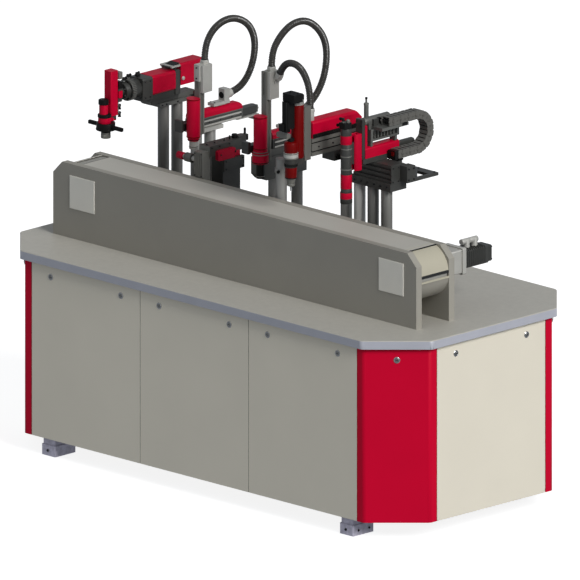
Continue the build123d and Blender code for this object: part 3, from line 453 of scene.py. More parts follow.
# ---------------------------------------------------------------- corrugated conduits
ARM2_ROUTE = [(-629, 95, 1765), (-629, 95, 1836), (-634, 146, 1905), (-639, 228, 1938), (-646, 316, 1930),
              (-653, 402, 1882), (-662, 450, 1802), (-671, 452, 1710), (-679, 420, 1626), (-685, 362, 1578),
              (-687, 304, 1571)]
ARM3_ROUTE = [(-131, 23, 1845), (-131, 23, 1918), (-136, 76, 1984), (-141, 160, 2030), (-148, 258, 2028),
              (-155, 345, 1972), (-162, 402, 1890), (-169, 412, 1790), (-176, 388, 1694), (-183, 325, 1616),
              (-189, 240, 1577)]
ARM4_ROUTE = [(-79, 20, 1829), (-46, 12, 1884), (24, -3, 1914), (100, -21, 1906), (160, -38, 1858),
              (189, -50, 1790), (189, -50, 1725)]
CONDUIT_RADIUS = 16.5


def smooth_line(points):
    """Places along the NURBS curve that has these control points, in millimetres."""
    data = bpy.data.curves.new("line", "CURVE")
    data.dimensions = "3D"
    data.resolution_u = 96
    spline = data.splines.new("NURBS")
    spline.points.add(len(points) - 1)
    for point, place in zip(spline.points, points):
        point.co = (*(Vector(place) * MM), 1)
    spline.order_u = 3
    spline.use_endpoint_u = True
    curve = bpy.data.objects.new("line", data)
    bpy.context.scene.collection.objects.link(curve)
    line = bpy.data.meshes.new_from_object(curve)
    places = [v.co / MM for v in line.vertices]
    bpy.data.objects.remove(curve)
    bpy.data.meshes.remove(line)
    return places


def conduit(name, route):
    """A corrugated conduit on a fixed curved route between the bench and a moving arm."""
    line = smooth_line(route)
    piece = Piece(name, None, "conduit_grey", CONDUIT)
    piece = piece.tube(line, CONDUIT_RADIUS, ribs=(7.5, 2.5), segments=18).done(bevel=0)
    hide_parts(name.replace("corrugated", "conduit"))
    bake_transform(piece)


conduit("arm2_corrugated", ARM2_ROUTE)
conduit("arm3_corrugated", ARM3_ROUTE)
conduit("arm4_corrugated", ARM4_ROUTE)


def collar(name, body, at, towards):
    """The union nut that holds a conduit's end: a hexagon, a turned lip and a seal."""
    towards = towards.normalized()
    radius = CONDUIT_RADIUS + 2.6
    nut = Piece(name, body, "light_alloy", ALLOY, RUBBER)
    nut.lathe(at - towards * 3, towards, [(radius + 2, 0), (radius + 2, 13)], 0, 6)
    lip = [(radius, 0), (radius, 5), (radius - 1, 7), (CONDUIT_RADIUS - 1.4, 7)]
    nut.lathe(at + towards * 9, towards, lip, 0, 28)
    seal = [(CONDUIT_RADIUS + 0.8, 0), (CONDUIT_RADIUS + 0.3, 3), (CONDUIT_RADIUS - 2, 3)]
    nut.lathe(at + towards * 15, towards, seal, 1, 28)
    return nut.done(0.6)


for arm, route, mover in (("arm2", ARM2_ROUTE, "arm2_reach"), ("arm3", ARM3_ROUTE, "arm3_reach"),
                          ("arm4", ARM4_ROUTE, "arm3_reach")):
    first, second, last_but_one, last = (Vector(p) for p in (*route[:2], *route[-2:]))
    collar(f"{arm}_conduit_nut_moving", mover, first, second - first)
    collar(f"{arm}_conduit_nut_fixed", "bench", last, last_but_one - last)


# ---------------------------------------------------------------- drag chain
CHAIN_X = (ARM5_X + 30, ARM5_X + 86)
CHAIN_BEND = (371, 1598)  # y and z of its middle
CHAIN_MOVING_Y, CHAIN_FIXED_Y = 191, 250  # where the chain's two ends are clamped
CHAIN_DEPTH, CHAIN_OUTER = 40, 101
CHAIN_PITCH = 24.5


def chain_place(travelled):
    """Middle of the chain and its heading, this far from the moving end."""
    middle = CHAIN_OUTER - CHAIN_DEPTH / 2
    upper = CHAIN_BEND[0] - CHAIN_MOVING_Y
    bend = math.pi * middle
    if travelled < upper:
        return Vector((0, CHAIN_MOVING_Y + travelled, CHAIN_BEND[1] + middle)), Vector(REAR)
    if travelled < upper + bend:
        angle = math.pi / 2 - (travelled - upper) / middle
        out = Vector((0, math.cos(angle), math.sin(angle)))
        return Vector((0, *CHAIN_BEND)) + out * middle, Vector((0, math.sin(angle), -math.cos(angle)))
    back = travelled - upper - bend
    return Vector((0, CHAIN_BEND[0] - back, CHAIN_BEND[1] - middle)), Vector(FRONT)


def drag_chain():
    """Links of two lapped side plates, a lid, a bar and pins, and the cables through them all."""
    links = Piece("drag_chain_links", None, "chain_grey", CHAIN, BLACK)
    bend = math.pi * (CHAIN_OUTER - CHAIN_DEPTH / 2)
    total = (CHAIN_BEND[0] - CHAIN_MOVING_Y) + bend + (CHAIN_BEND[0] - CHAIN_FIXED_Y)
    count = round(total / CHAIN_PITCH)
    pitch = total / count

    def plate(middle, along, out, x, reach, half):
        """A side plate: a rectangle with cut corners in the plane of the chain."""
        cut = min(reach, half) * 0.3
        outline = [(-reach + cut, -half), (reach - cut, -half), (reach, -half + cut), (reach, half - cut),
                   (reach - cut, half), (-reach + cut, half), (-reach, half - cut), (-reach, -half + cut)]
        flat = [middle + along * a + out * b for a, b in outline]
        links.prism([(p.y, p.z) for p in flat], "X", *x)

    for i in range(count):
        middle, along = chain_place((i + 0.5) * pitch)
        out = Vector((0, along.z, -along.y)) * -1
        half = CHAIN_DEPTH / 2
        lap = 0.6 if i % 2 else 2.6
        for x in ((CHAIN_X[0] + lap, CHAIN_X[0] + lap + 3.6), (CHAIN_X[1] - lap - 3.6, CHAIN_X[1] - lap)):
            plate(middle, along, out, x, pitch * 0.58, half - 0.4)
        inside = (CHAIN_X[0] + 5, CHAIN_X[1] - 5)
        plate(middle + out * (half - 2.2), along, out, inside, pitch * 0.34, 1.9)
        plate(middle - out * (half - 2.6), along, out, inside, pitch * 0.3, 2.1)
        joint, _ = chain_place(i * pitch)
        for x, side in ((CHAIN_X[0] + 0.4, -1), (CHAIN_X[1] - 0.4, 1)):
            pin = [(6.5, 0), (6.5, 2.6), (5.6, 3.1)]
            links.lathe((x - side * 2.5, joint.y, joint.z), (side, 0, 0), pin, 0, 20)
    run = [chain_place(total * i / 160)[0] for i in range(161)]
    for x, radius in ((-15, 8), (2, 6), (16, 7)):
        across = Vector((sum(CHAIN_X) / 2 + x, 0, 0))
        links.tube([p + across for p in run], radius, 1, 12)
    made = links.done(bevel=0)
    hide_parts("drag_chain")
    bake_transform(made)


drag_chain()


# ---------------------------------------------------------------- machine base
PANEL = 690
LOCK_Z, LOCK_INSET = 845, 122  # from the floor, and from the side edge of a panel
CORNER_WIDTH = 213  # of a red corner panel, along X and along Y
FOOT_X, FOOT_Y = 948, 514  # middle of a foot


def spans(node):
    """The (low, high) pairs of a CAD node along X, Y and Z, in millimetres."""
    low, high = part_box(node)
    return [(a / MM, b / MM) for a, b in zip(low, high)]


frame_spans = {name: spans(name) for name in nodes}


def lock(piece, at, axis):
    """Quarter-turn lock: a turned flange, a recessed barrel and a slot bar."""
    at, axis = Vector(at), Vector(axis)
    piece.lathe(at, axis, [(15, 0), (15, 1.6), (13.2, 3), (10.5, 3), (9.6, 1.4)], 0, 36)
    piece.lathe(at + axis * 1, axis, [(8.6, 0), (8.6, 3.2), (7.6, 4)], 1, 28)
    side = axis.cross(Vector(UP)).normalized()
    piece.rod(at + axis * 4.6 - side * 6, at + axis * 4.6 + side * 6, 1.4, 2, 10)


def locks():
    """Two locks along the top of each door and panel, and one on each corner panel."""
    front = frame_spans["front_door_left"][1][0]
    rear = frame_spans["rear_panels"][1][1]
    ends = frame_spans["end_panels"][0]
    inset = PANEL / 2 - LOCK_INSET
    for name, x in (("left", -PANEL), ("middle", 0), ("right", PANEL)):
        piece = Piece(f"door_{name}_locks", f"door_{name}", "drum_steel", CHROME, STEEL, BLACK)
        for side in (-1, 1):
            lock(piece, (x + side * inset, front, LOCK_Z), FRONT)
        piece.done(0.4)
    fixed = Piece("panel_locks", "bench", "drum_steel", CHROME, STEEL, BLACK)
    for y in (-225, 225):
        lock(fixed, (ends[1], y, LOCK_Z), RIGHT)
        lock(fixed, (ends[0], y, LOCK_Z), LEFT)
    for x in (-PANEL, 0, PANEL):
        for side in (-1, 1):
            lock(fixed, (x + side * inset, rear, LOCK_Z), REAR)
    for sx in (-1, 1):
        for sy in (-1, 1):
            out = Vector((sx, sy, 0)).normalized()
            lock(fixed, (sx * (ends[1] - CORNER_WIDTH / 2), sy * (rear - CORNER_WIDTH / 2), LOCK_Z), out)
    fixed.done(0.4)


locks()


def foot_bolts():
    """Levelling screw and anchor bolt on each foot, with washers."""
    bolts = Piece("foot_bolts", "bench", "foot_steel", SCREW, FOOT)
    for sx in (-1, 1):
        for sy in (-1, 1):
            x = sx * (FOOT_X + 43)
            for y in (sy * FOOT_Y - 34, sy * FOOT_Y + 34):
                bolts.lathe((x, y, 24), (sx, 0, 0), [(8, 0), (8, 1.5)], 1, 28)
                bolts.lathe((x + sx * 1.5, y, 24), (sx, 0, 0), [(5.5, 0), (5.5, 4), (4.8, 5)], 0, 6)
            y = sy * (FOOT_Y + 66)
            bolts.lathe((sx * FOOT_X, y, 26), (0, sy, 0), [(9, 0), (9, 1.5)], 1, 28)
            bolts.lathe((sx * FOOT_X, y + sy * 1.5, 26), (0, sy, 0), [(6.5, 0), (6.5, 5), (5.8, 6)], 0, 6)
    bolts.done(0.5)


foot_bolts()


def panel_seals():
    """Dark rubber strips in the gaps between neighbouring panels."""
    seals = Piece("panel_seals", "bench", "belt_grey", RUBBER)
    doors, ends = frame_spans["front_door_left"], frame_spans["end_panels"]
    low, high = doors[2]
    rear = frame_spans["rear_panels"][1][1]
    gap = 2.2
    for edge in (-1.5, -0.5, 0.5, 1.5):
        x = edge * PANEL
        for y in ((doors[1][0] + 1, doors[1][0] + 16), (rear - 16, rear - 1)):
            seals.box(around(x, gap), y, (low + 1, high - 1))
    for x in ((ends[0][1] - 16, ends[0][1] - 1), (ends[0][0] + 1, ends[0][0] + 16)):
        for y in (-PANEL / 2, PANEL / 2):
            seals.box(x, around(y, gap), (low + 1, high - 1))
    seals.done(bevel=0)


panel_seals()


# ---------------------------------------------------------------- conveyor
DRUM_Z, DRUM_INSET = 1165, 123  # from the floor, and from the end of the side plates
COVER_Y = (-277.8, -105.2)  # between the side plates
ACCESS_X = (-1078, 889)  # left edge of each access plate
MOTOR_Z, GEARBOX_Z = 1166, 1168


def conveyor_trim():
    """Sheets over the drums, rims of the access plates, and screws on the side that faces the arms."""
    plates = frame_spans["conveyor_access_plates"]
    side = frame_spans["conveyor_side_plates"]
    sheets = Piece("drum_cover_sheets", "bench", "guard_beige", GUARD, RUBBER, COVER_PAINTED_LIGHT)
    for drum_x, end in ((side[0][1] - DRUM_INSET, 1), (side[0][0] + DRUM_INSET, -1)):
        arc = [math.radians(a) for a in range(7, 83, 5)]
        outer = [(drum_x + end * 122 * math.cos(a), DRUM_Z + 122 * math.sin(a)) for a in arc]
        inner = [(drum_x + end * 119.6 * math.cos(a), DRUM_Z + 119.6 * math.sin(a)) for a in reversed(arc)]
        # The left sheet faces away from the key light and takes the lighter cover paint, as painted light.
        sheets.prism(outer + inner, "Y", *COVER_Y, 0 if end == 1 else 2)
        # A dark rubber strip fills the slit under each sheet, as painted shade.
        strip = ((118.4, 15), (121, 15), (122.5, 2), (119.2, 2))
        slit_shade_strip = [(drum_x + end * w, DRUM_Z + h) for w, h in strip]
        sheets.prism(slit_shade_strip, "Y", *COVER_Y, 1)
    # Dark rubber strips at both ends of the top cover, as painted shade in the gap.
    for seam in ((1043, 1045.4), (-1033.4, -1031)):
        sheets.box(seam, COVER_Y, (1279, 1285.3), 1)
    sheets.done(0.3)

    rims = Piece("access_plate_rims", "bench", "access_light", ACCESS)
    near = plates[1][0]
    for x in ACCESS_X:
        rims.box((x + 3, x + 155), (near - 0.8, near + 0.5), (1083, 1230), 0, 4, "Y")
    rims.done(0.5)

    screws = Piece("conveyor_screws", "bench", "black_alloy", SCREW, GUARD)
    for x in (-1150, -700, -350, 0, 350, 700, 1095):
        for z in (975, 1010):
            screws.screw((x, side[1][1], z), REAR, 6)
    x, rear = side[0][0] + DRUM_INSET, side[1][1]
    screws.lathe((x, rear, DRUM_Z), REAR, [(30, 0), (30, 3), (26, 4.5), (10, 4.5), (9, 2)], 1, 40)
    for dx, dz in bolt_circle(4, 21, 45):
        screws.screw((x + dx, rear + 4.5, DRUM_Z + dz), REAR, 3)
    screws.done(0.4)


conveyor_trim()


def motor_details():
    """Cooling fins and screws on the drive motor and its gearbox."""
    box = frame_spans["drive_motor"]
    gear = frame_spans["gearbox"]
    x = sum(box[0]) / 2
    fins = Piece("motor_fins", "bench", "black_housing", BLACK_ALLOY, SCREW)
    for i in range(11):
        y = gear[1][1] + 12 + i * 12.5
        fins.box((x - 45, x + 45), (y, y + 3.2), (1126, 1211), 0, 9, "Y")
    for dx in (-34, 34):
        for dz in (-34, 34):
            fins.screw((x + dx, box[1][1], MOTOR_Z + dz * 0.85), REAR, 4, 1)
    fins.done(0.4)
    cover = Piece("gearbox_screws", "bench", "black_alloy", SCREW)
    for dx in (-48, 48):
        for dz in (-48, 48):
            cover.screw((x + dx, gear[1][1], GEARBOX_Z + dz), REAR, 4.5)
    cover.done(0.4)


motor_details()


# ---------------------------------------------------------------- columns
LONE_POST = (-26, -20)
COLUMNS = [(ARM1_X, 181), (ARM1_X, 267), (ARM2_X, 100), (ARM2_X, 187), (ARM3_X, 96), (ARM3_X, 243),
           (ARM4_X, 181), (ARM4_X, 267), LONE_POST] + [(ARM5_X + i * 86, 170) for i in (-1, 0, 1)]
FLANGE_TOP = 954


def column_screws():
    """Screws of the foot rings."""
    made = Piece("column_screws", "bench", "black_alloy", SCREW)
    for x, y in COLUMNS:
        for dx, dy in bolt_circle(4, 37, 45):
            made.screw((x + dx, y + dy, FLANGE_TOP), UP, 3.4)
    made.done(0.3)


def post_fittings():
    """The plug in the lone post's end, its clamp ring and the ring's knob."""
    x, y = LONE_POST
    made = Piece("lone_post_fittings", "bench", "light_alloy", BLACK, COLUMN)
    made.lathe((x, y, 1452), UP, [(20.5, 0), (20.5, 4), (26, 4), (26, 7), (24, 8.5)], 1, 40)
    made.lathe((x, y, 1394), UP, [(26.2, 0), (30, 0), (30, 22), (26.2, 22)], 1, 44, ring=True)
    out = Vector((0.42, -0.91, 0)).normalized()
    grip = Vector((x, y, 1405)) + out * 29
    made.rod(grip, grip + out * 7, 3.5)
    made.lathe(grip + out * 5, out, [(6.5, 0), (7.5, 1.5), (7.5, 8), (6, 10)], 0, 28)
    made.done(0.4)


column_screws()
post_fittings()


# ---------------------------------------------------------------- arm 1
def elbow(piece, at, up, out, radius=7, reach=16, paint=0, nut=1):
    """A push-in elbow fitting: a hexagon base, a body and a side port with a release ring."""
    at, up, out = Vector(at), Vector(up), Vector(out)
    piece.lathe(at, up, [(radius + 1.5, 0), (radius + 1.5, 5)], nut, 6)
    body = [(radius * 0.85, 0), (radius * 0.85, reach - 4), (radius * 0.6, reach)]
    piece.lathe(at + up * 5, up, body, paint, 20)
    port = at + up * (reach - 2)
    piece.lathe(port, out, [(radius * 0.8, 0), (radius * 0.8, reach)], paint, 20)
    piece.lathe(port + out * reach, out, [(radius, 0), (radius, 4), (radius * 0.55, 4)], paint, 20)


def arm1_details():
    """Fittings of the head, rings of the spindle, and details of the carriage and its end stop."""
    head = Piece("arm1_head_fittings", "arm1_head", "black_alloy", BLACK, STEEL, GREY_ALLOY, RED)
    side = ARM1_X + 23
    for z, paint in ((1684, 2), (1640, 0), (1596, 3)):
        head.box((ARM1_X - 16, side + 6), (-129, -106), (z - 16, z + 16), paint, 3, "Z")
    for z in (1543, 1508):
        elbow(head, (side - 8, -127, z), REAR, DOWN, 8, 15)
    head.box((ARM1_X - 18, ARM1_X + 18), (-129, -121), (1500, 1580), 2, 2, "Z")
    for y, z in ((-74, 1643), (-47, 1652)):
        elbow(head, (ARM1_X, y, z), UP, REAR, 7.5, 15)
    wrist_z = 1600
    head.knurled((ARM1_X, -60, wrist_z), REAR, 51, 26, 2, 40)
    for dx, dz in bolt_circle(6, 31, 30):
        head.screw((ARM1_X + dx, -88, wrist_z + dz), FRONT, 4, 1)
    head.done(0.5)

    lift = Piece("arm1_spindle_rings", "arm1_lift", "black_alloy", BLACK, GREY_ALLOY, SCREW)
    lift.lathe((ARM1_X, -200, 1560), UP, [(21, 0), (23.5, 2), (23.5, 22), (19, 25)], 0, 36)
    lift.lathe((ARM1_X, -194, 1500), UP, [(29.6, 0), (31, 1.5), (31, 14), (26, 17)], 0, 40)
    tool_y = -186
    lift.knurled((ARM1_X, tool_y, 1402.2), UP, 22.4, 18, 1, 30)
    lift.lathe((ARM1_X, tool_y, 1420), UP, [(22, 0), (22, 8), (18, 14)], 1, 36)
    lift.lathe((ARM1_X, tool_y, 1440.5), UP, [(44.2, 0), (45, 2), (45, 7), (43.5, 8)], 0, 48)
    for dx, dy in bolt_circle(3, 32, 90):
        lift.screw((ARM1_X + dx, tool_y + dy, 1440), DOWN, 3.5, 2)
    lift.done(0.5)

    slide = Piece("arm1_slide_details", "arm1_slide", "light_alloy", ALLOY, BLACK, SCREW)
    slide.lathe((ARM1_X + 42, 264, 1601), RIGHT, [(9, 0), (9, 4), (7, 6)], 0, 28)
    slide.prism([(186, 1658), (252, 1669), (252, 1673), (184, 1661)], "X", ARM1_X - 22, ARM1_X + 30, 1)
    for x in (-32, 32):
        for z in (1556, 1630):
            slide.screw((ARM1_X + x, 4, z), FRONT, 4.5, 2)
    for y in (20, 52):
        for z in (1556, 1630):
            slide.screw((ARM1_X + 46, y, z), RIGHT, 3.5, 2)
    elbow(slide, (ARM1_X, 22, 1646), UP, FRONT, 7.5, 13, 1, 2)
    elbow(slide, (ARM1_X - 22, 46, 1646), UP, FRONT, 6.5, 12, 1, 2)
    slide.done(0.5)

    stop = Piece("arm1_end_stop", "bench", "black_housing", BLACK, DARK_RED, SCREW)
    stop.box((ARM1_X + 16, ARM1_X + 42), (318, 358), (1492, 1507.5), 0, 3, "X")
    stop.box((ARM1_X + 28.5, ARM1_X + 46), (345, 358), (1500, 1526), 0, 3, "X")
    stop.rod((ARM1_X + 35, 342.6, 1518), (ARM1_X + 35, 352, 1518), 6, 1)
    stop.lathe((ARM1_X + 36, 358, 1515), REAR, [(8.5, 0), (8.5, 6)], 2, 6)
    for y in (132, 160, 230, 300):
        stop.screw((ARM1_X + 42, y, 1499), RIGHT, 4, 2)
    stop.done(0.5)


arm1_details()


# ---------------------------------------------------------------- arms 2 and 3
def reach_details(arm, x, lift_y, z, cap_z):
    """Grooves, screws and rear bracket of the module, the ram's end cap and ports, and the head clamp."""
    side = x + 30
    fixed = Piece(f"{arm}_module_details", "bench", "light_alloy", ALLOY, BLACK_ALLOY, SCREW, GREY_ALLOY)
    for low, high, paint in ((4, 11, 0), (15, 19, 1), (26, 33, 0), (37, 41, 1)):
        fixed.box((side - 0.5, side + 2.2), (72, 356), (z + low, z + high), paint)
    for y in (78, 150, 222, 294, 352):
        fixed.screw((side + 2, y, z + 22.5), RIGHT, 2.6, 2)
    fixed.box((x - 28, x + 29.5), (366, 376), (z + 1.5, z + 4), 3)
    fixed.box((x - 16, x + 28), (336, 474), (z - 6, z - 0.3), 0, 3, "Z")
    fixed.box((x - 16, x + 28), (446, 474), (z - 26, z - 5), 0, 4, "X")
    fixed.done(0.3)

    moving = Piece(f"{arm}_ram_details", f"{arm}_reach", "light_alloy", ALLOY, BLACK, SCREW, GREY_ALLOY)
    moving.box((x - 19.5, x + 19.5), (468, 474), (z + 5.5, z + 38.5), 3, 2, "Y")
    for dx in (-9, 9):
        moving.lathe((x + dx, 474, z + 22), REAR, [(7.5, 0), (7.5, 6), (5.5, 8), (4.5, 4)], 1, 24)
    centre = x + LIFT_SIDE
    for up in (10, 30, 48):
        moving.screw((x + 44, lift_y, z + up), RIGHT, 4, 2)
    if cap_z:
        moving.box(around(centre, 35), (lift_y - 18, lift_y + 17.5), cap_z, 0, 2.5, "Z")
        for screw_z in (cap_z[0] + 12, cap_z[1] - 14):
            moving.screw((centre, lift_y - 18, screw_z), FRONT, 4, 2)
    moving.done(0.5)


def fitting_ports():
    """The dark round port and the base plate's screws on each fixed conduit fitting."""
    ports = Piece("conduit_fitting_ports", "bench", "light_alloy", BLACK, SCREW)
    for x, end in ((ARM2_X, ARM2_ROUTE[-1]), (ARM3_X, ARM3_ROUTE[-1])):
        y = end[1] - 44
        ports.lathe((x, y + 1, end[2]), FRONT, [(15, 0), (15, 2.5), (12.5, 3.4), (11, 2.2)], 0, 32)
        for dx in (-13, 13):
            ports.screw((x + dx, end[1] - 100, end[2] - 24), UP, 3.4, 1)
    ports.done(0.4)


reach_details("arm2", ARM2_X, ARM2_LIFT_Y, 1450, (1690, 1765.5))
reach_details("arm3", ARM3_X, ARM3_LIFT_Y, 1460, None)
fitting_ports()


def lift_details(arm, x, lift_y, tip, rings):
    """Rings and seams of the lift housing and of the tool spindle."""
    centre, y = x + LIFT_SIDE, lift_y - 38
    made = Piece(f"{arm}_housing_rings", f"{arm}_reach", "cover_red", DARK_RED, BLACK, GREY_ALLOY)
    for radius, z, paint in rings:
        band = [(radius, 0), (radius + 1.2, 1), (radius + 1.2, 4), (radius, 5), (22, 5), (22, 0)]
        made.lathe((centre, y, z), UP, band, paint, 48, ring=True)
    made.done(0.3)
    nose = Piece(f"{arm}_spindle_rings", f"{arm}_lift", "light_alloy", GREY_ALLOY, BLACK)
    lip = [(20, 0), (20.8, 0.8), (20.8, 3), (20, 4), (15, 4), (15, 0)]
    nose.lathe((centre, y, tip + 8), UP, lip, 0, 44, ring=True)
    nose.lathe((centre, y, tip - 0.6), UP, [(7, 0), (7, 1.2), (5, 1.2)], 1, 30)
    nose.done(0.3)


ARM2_RINGS = [(26, 1420, 1), (31, 1434, 0), (31, 1608, 0)]  # radius, z and paint
ARM3_RINGS = [(38, 1426, 1), (38, 1464, 2), (33, 1474, 2), (31, 1490, 0), (31, 1634, 0)]
lift_details("arm2", ARM2_X, ARM2_LIFT_Y, 1380, ARM2_RINGS)
lift_details("arm3", ARM3_X, ARM3_LIFT_Y, 1353, ARM3_RINGS)


# ---------------------------------------------------------------- feeder
def feeder_details():
    """Pins, knob and screws of the feeder."""
    made = Piece("feeder_details", "bench", "black_housing", BLACK, SCREW)
    made.rod((FEEDER_X, 125, 1429), (FEEDER_X, 125, 1446), 3.5)
    made.lathe((FEEDER_X, 157, 1429), UP, [(13, 0), (14, 2), (14, 15), (11, 18)], 0, 30)
    made.rod((FEEDER_X, 222, 1350), (FEEDER_X, 222, 1462), 5.5)
    made.box((FEEDER_X - 15, FEEDER_X + 15), (210, 232), (1408, 1434), 0, 4, "Z")
    made.lathe((FEEDER_X, 222, 1344), UP, [(9, 0), (14, 4), (14, 18), (8, 24)], 0, 30)
    for y in (-20, 30, 90):
        made.screw((FEEDER_X + 33, y, 1420), RIGHT, 4, 1)
        made.screw((FEEDER_X, y, 1429), UP, 4.5, 1)
    for y in (52, 156):
        for z in (1310, 1346):
            made.screw((FEEDER_X + 52, y, z), RIGHT, 3.5, 1)
    for y in (20, 110):
        made.screw((FEEDER_X + 52, y, 1384), RIGHT, 4, 1)
    for x in (-20, 20):
        for z in (1296, 1398):
            made.screw((FEEDER_X + x, -75, z), FRONT, 3, 1)
    made.done(0.5)


feeder_details()


# ---------------------------------------------------------------- arm 4
def arm4_details():
    """Fittings and rings of the screwdriver, and screws and grooves of its beam."""
    x, y = SPINDLE
    made = Piece("screwdriver_details", "screwdriver", "light_alloy",
                 ALLOY, BLACK, SCREW, DARK_RED, GREY_ALLOY)
    made.box((x - 66, x), (y - 26, y - 2), (1627, 1651), 4, 4, "X")
    made.rod((x - 72, y - 14, 1639), (x - 64, y - 14, 1639), 9, 1)
    made.box((x - 12, x + 12), (y - 12, y + 12), (1604, 1630), 1, 4, "Z")
    made.lathe((x, y, 1606), UP, [(30.5, 0), (29, 5), (20, 8)], 3, 40)
    made.lathe((x, y, 1535), UP, [(33.2, 0), (34.5, 1.5), (34.5, 6), (33, 7)], 4, 48)
    made.lathe((x, y, 1557), UP, [(33.2, 0), (34.2, 1), (34.2, 5), (31, 7)], 4, 48)
    made.knurled((x, y, 1498), UP, 30.5, 15, 1, 44)
    made.lathe((x - 30, y, 1474), LEFT, [(6.5, 0), (6.5, 5), (4, 8)], 0, 24)
    made.lathe((x, y, 1407), UP, [(16, 0), (19, 3), (19, 9), (17.5, 11)], 4, 36)
    made.lathe((x, y, 1443), UP, [(24, 0), (27.8, 1), (27.8, 5), (26, 6)], 1, 44)
    made.knurled((x, -142, 1781), UP, 29.8, 20, 4, 44)
    made.box((x - 22, x + 14), (-214, -172.5), (1676, 1800), 1, 4, "Z")
    for dx in (-12, 36):
        made.screw((x + dx, -176, 1841), UP, 4, 2)
    made.done(0.4)

    fixed = Piece("arm4_beam_details", "bench", "black_alloy", SCREW, BLACK)
    for z in (1525, 1590, 1655, 1720, 1750):
        fixed.screw((154, -112, z), FRONT, 3, 0)
    for screw_y in (-30, 60, 150, 240):
        fixed.screw((ARM4_X + 35, screw_y, 1565), RIGHT, 4, 0)
    for z in (1545, 1585):
        fixed.box((ARM4_X + 29, ARM4_X + 30.5), (-70, 283), (z - 2, z + 2), 1)
    fixed.box((ARM4_X + 36.5, ARM4_X + 39.5), (-69, 242), (1608.5, 1628), 1, 3, "X")
    for screw_y in (-40, 60, 160):
        fixed.screw((ARM4_X + 39.5, screw_y, 1618), RIGHT, 3.2, 0)
    for screw_y in (150, 296):
        for dx in (-30, 30):
            fixed.screw((ARM4_X + dx, screw_y, 1525), UP, 4, 0)
    fixed.rod((ARM4_X + 36, 87, 1495), (ARM4_X + 48, 87, 1495), 11, 1)
    fixed.done(0.4)


arm4_details()


# ---------------------------------------------------------------- arm 5
def arm5_details():
    """Fittings of the tool, and details of the carriage and of the beam."""
    tool = Piece("arm5_tool_fittings", "arm5_lift", "black_housing", BLACK, GREY_ALLOY)
    y = -2
    tool.box((ARM5_X - 24, ARM5_X + 18), (y - 24, y + 20), (1672, 1700), 0, 5, "Z")
    elbow(tool, (ARM5_X - 10, y - 8, 1700), UP, LEFT, 8, 15, 0, 1)
    elbow(tool, (ARM5_X - 24, y, 1684), LEFT, FRONT, 8, 15, 0, 1)
    tool.lathe((ARM5_X + 8, y + 4, 1700), UP, [(9, 0), (9, 10), (6, 14)], 1, 26)
    seam = [(25.2, 0), (26.4, 1), (26.4, 5), (25.2, 6), (22.5, 6), (22.5, 0)]
    for z in (1540, 1575, 1480):
        tool.lathe((ARM5_X, y, z), UP, seam, 1, 44, ring=True)
    tool.knurled((ARM5_X, y, 1326), UP, 27.8, 19, 0, 40)
    tool.lathe((ARM5_X, y, 1322.5), UP, [(20, 0), (20, 2), (12, 2)], 1, 36)
    tool.done(0.4)

    slide = Piece("arm5_slide_details", "arm5_slide", "black_housing",
                  BLACK, GREY_ALLOY, SCREW, BLACK_ALLOY)
    for z in (1530, 1600, 1670, 1690):
        for dx in (-14, 17):
            slide.screw((ARM5_X + dx, 78, z), FRONT, 3, 2)
    slide.lathe((ARM5_X + 17, 185, 1680), RIGHT, [(14, 0), (14, 6), (12, 8)], 0, 30)
    slide.box((ARM5_X + 18, ARM5_X + 29), (146, 176), (1659.5, 1690), 3, 3, "X")
    for i in range(7):
        slide.box((ARM5_X + 19, ARM5_X + 31.4), (148 + i * 20, 153 + i * 20), (1602, 1637), 1)
    slide.lathe((ARM5_X - 2, 262, 1680), REAR, [(19.4, 0), (17, 5), (8, 8)], 1, 36)
    slide.lathe((ARM5_X - 2, 104, 1680), REAR, [(10, 0), (18, 3), (19.4, 7)], 1, 36)
    slide.lathe((ARM5_X - 4, 130, 1756), UP, [(12.5, 0), (12.5, 8), (8, 10)], 1, 6)
    slide.lathe((ARM5_X - 4, 130, 1784), UP, [(6, 0), (6, 6), (4, 8)], 0, 20)
    slide.lathe((ARM5_X - 1, 418, 1532), REAR, [(13, 0), (13, 6), (9, 9)], 0, 30)
    for screw_y in (160, 290):
        slide.screw((ARM5_X + 60, screw_y, 1645), DOWN, 4, 2)
    slide.box((ARM5_X + 84, ARM5_X + 90), (270, 300), (1649, 1662), 0, 2, "X")
    slide.done(0.4)

    fixed = Piece("arm5_beam_details", "bench", "black_alloy", BLACK_ALLOY, SCREW, DARK_RED, BLACK)
    fixed.box((404, 452), (228, 249.5), (1493, 1536), 3, 3, "Y")
    fixed.box((428, 444), (225, 229), (1512, 1530), 2, 2, "Y")
    fixed.box((398, 456), (250, 276), (1489, 1497), 3, 2, "Z")
    for z in (1425, 1476):
        for screw_y in (210, 242):
            fixed.screw((556, screw_y, z), RIGHT, 4, 1)
    fixed.box((505, 509.5), (146, 236), (1406, 1490), 0, 6, "X")
    for z in (1416, 1480):
        for screw_y in (156, 190):
            fixed.screw((509.5, screw_y, z), RIGHT, 3.6, 1)
    for x in (262, 505):
        for dx in (20, 60, 100):
            fixed.screw((x + (dx if x < 300 else -dx), 140, 1391), FRONT, 5, 1)
    for x in (300, 400, 500):
        fixed.screw((x, 428, 1410), UP, 4.5, 1)
    fixed.done(0.4)


arm5_details()


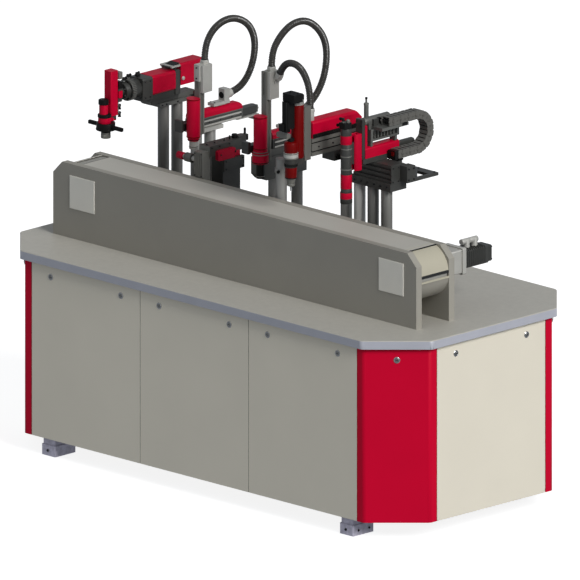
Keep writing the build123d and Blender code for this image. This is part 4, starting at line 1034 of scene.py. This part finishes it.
# ---------------------------------------------------------------- camera, light and floor
ACROSS = Vector((math.sqrt(0.5), math.sqrt(0.5), 0))
DIP = 0.2658  # sine of how far the camera looks down
LEVEL = math.sqrt(1 - DIP * DIP)
VIEW = Vector((-LEVEL * math.sqrt(0.5), LEVEL * math.sqrt(0.5), -DIP))
ABOVE = ACROSS.cross(VIEW)
VIEW_WIDTH = 2.61
AIM = ACROSS * 0.00675 + ABOVE * 0.815  # middle of the view
DISTANCE = 7
camera = bpy.data.objects.new("camera", bpy.data.cameras.new("camera"))
camera.data.type = "ORTHO"
camera.data.ortho_scale = VIEW_WIDTH
camera.location = AIM - VIEW * DISTANCE
camera.rotation_euler = Matrix((ACROSS, ABOVE, -VIEW)).transposed().to_euler()
bpy.context.scene.collection.objects.link(camera)
bpy.context.scene.camera = camera
bpy.context.scene.view_settings.view_transform = "Standard"

world = bpy.data.worlds.new("studio")
bpy.context.scene.world = world
world.use_nodes = True
put(world.node_tree.nodes["Background"], Color=(0.85, 0.915, 1.0, 1), Strength=0.33)


def sun(name, towards, strength, spread):
    """A soft distant light. spread is its angle in degrees."""
    light = bpy.data.lights.new(name, "SUN")
    light.energy = strength
    light.angle = math.radians(spread)
    lamp = bpy.data.objects.new(name, light)
    lamp.rotation_euler = Vector(towards).to_track_quat("-Z", "Y").to_euler()
    bpy.context.scene.collection.objects.link(lamp)


sun("key", (-0.83, 0.10, -0.55), 2.56, 25)
sun("fill", (0.15, 0.75, -0.65), 0.10, 60)


def plain(name, colour, glow):
    """A matt material that also gives off a little light."""
    material = bpy.data.materials.new(name)
    material.use_nodes = True
    put(material.node_tree.nodes["Principled BSDF"], Base_Color=(*colour, 1), Roughness=0.9,
        Specular_IOR_Level=0.0, Emission_Color=(1, 1, 1, 1), Emission_Strength=glow)
    return material


def stage_object(name, build, material):
    """The floor or the backdrop, which cast no shade and no reflection on the machine."""
    shape = bmesh.new()
    build(shape)
    data = bpy.data.meshes.new(name)
    shape.to_mesh(data)
    shape.free()
    data.materials.append(material)
    made = bpy.data.objects.new(name, data)
    bpy.context.scene.collection.objects.link(made)
    made.visible_diffuse = False
    made.visible_glossy = False
    made.visible_shadow = False


stage_object("floor", lambda b: bmesh.ops.create_grid(b, x_segments=1, y_segments=1, size=14),
             plain("floor_white", (0.35, 0.35, 0.35), 0.86))
stage_object("backdrop", lambda b: bmesh.ops.create_icosphere(b, subdivisions=4, radius=13),
             plain("backdrop_white", (0, 0, 0), 1.0))
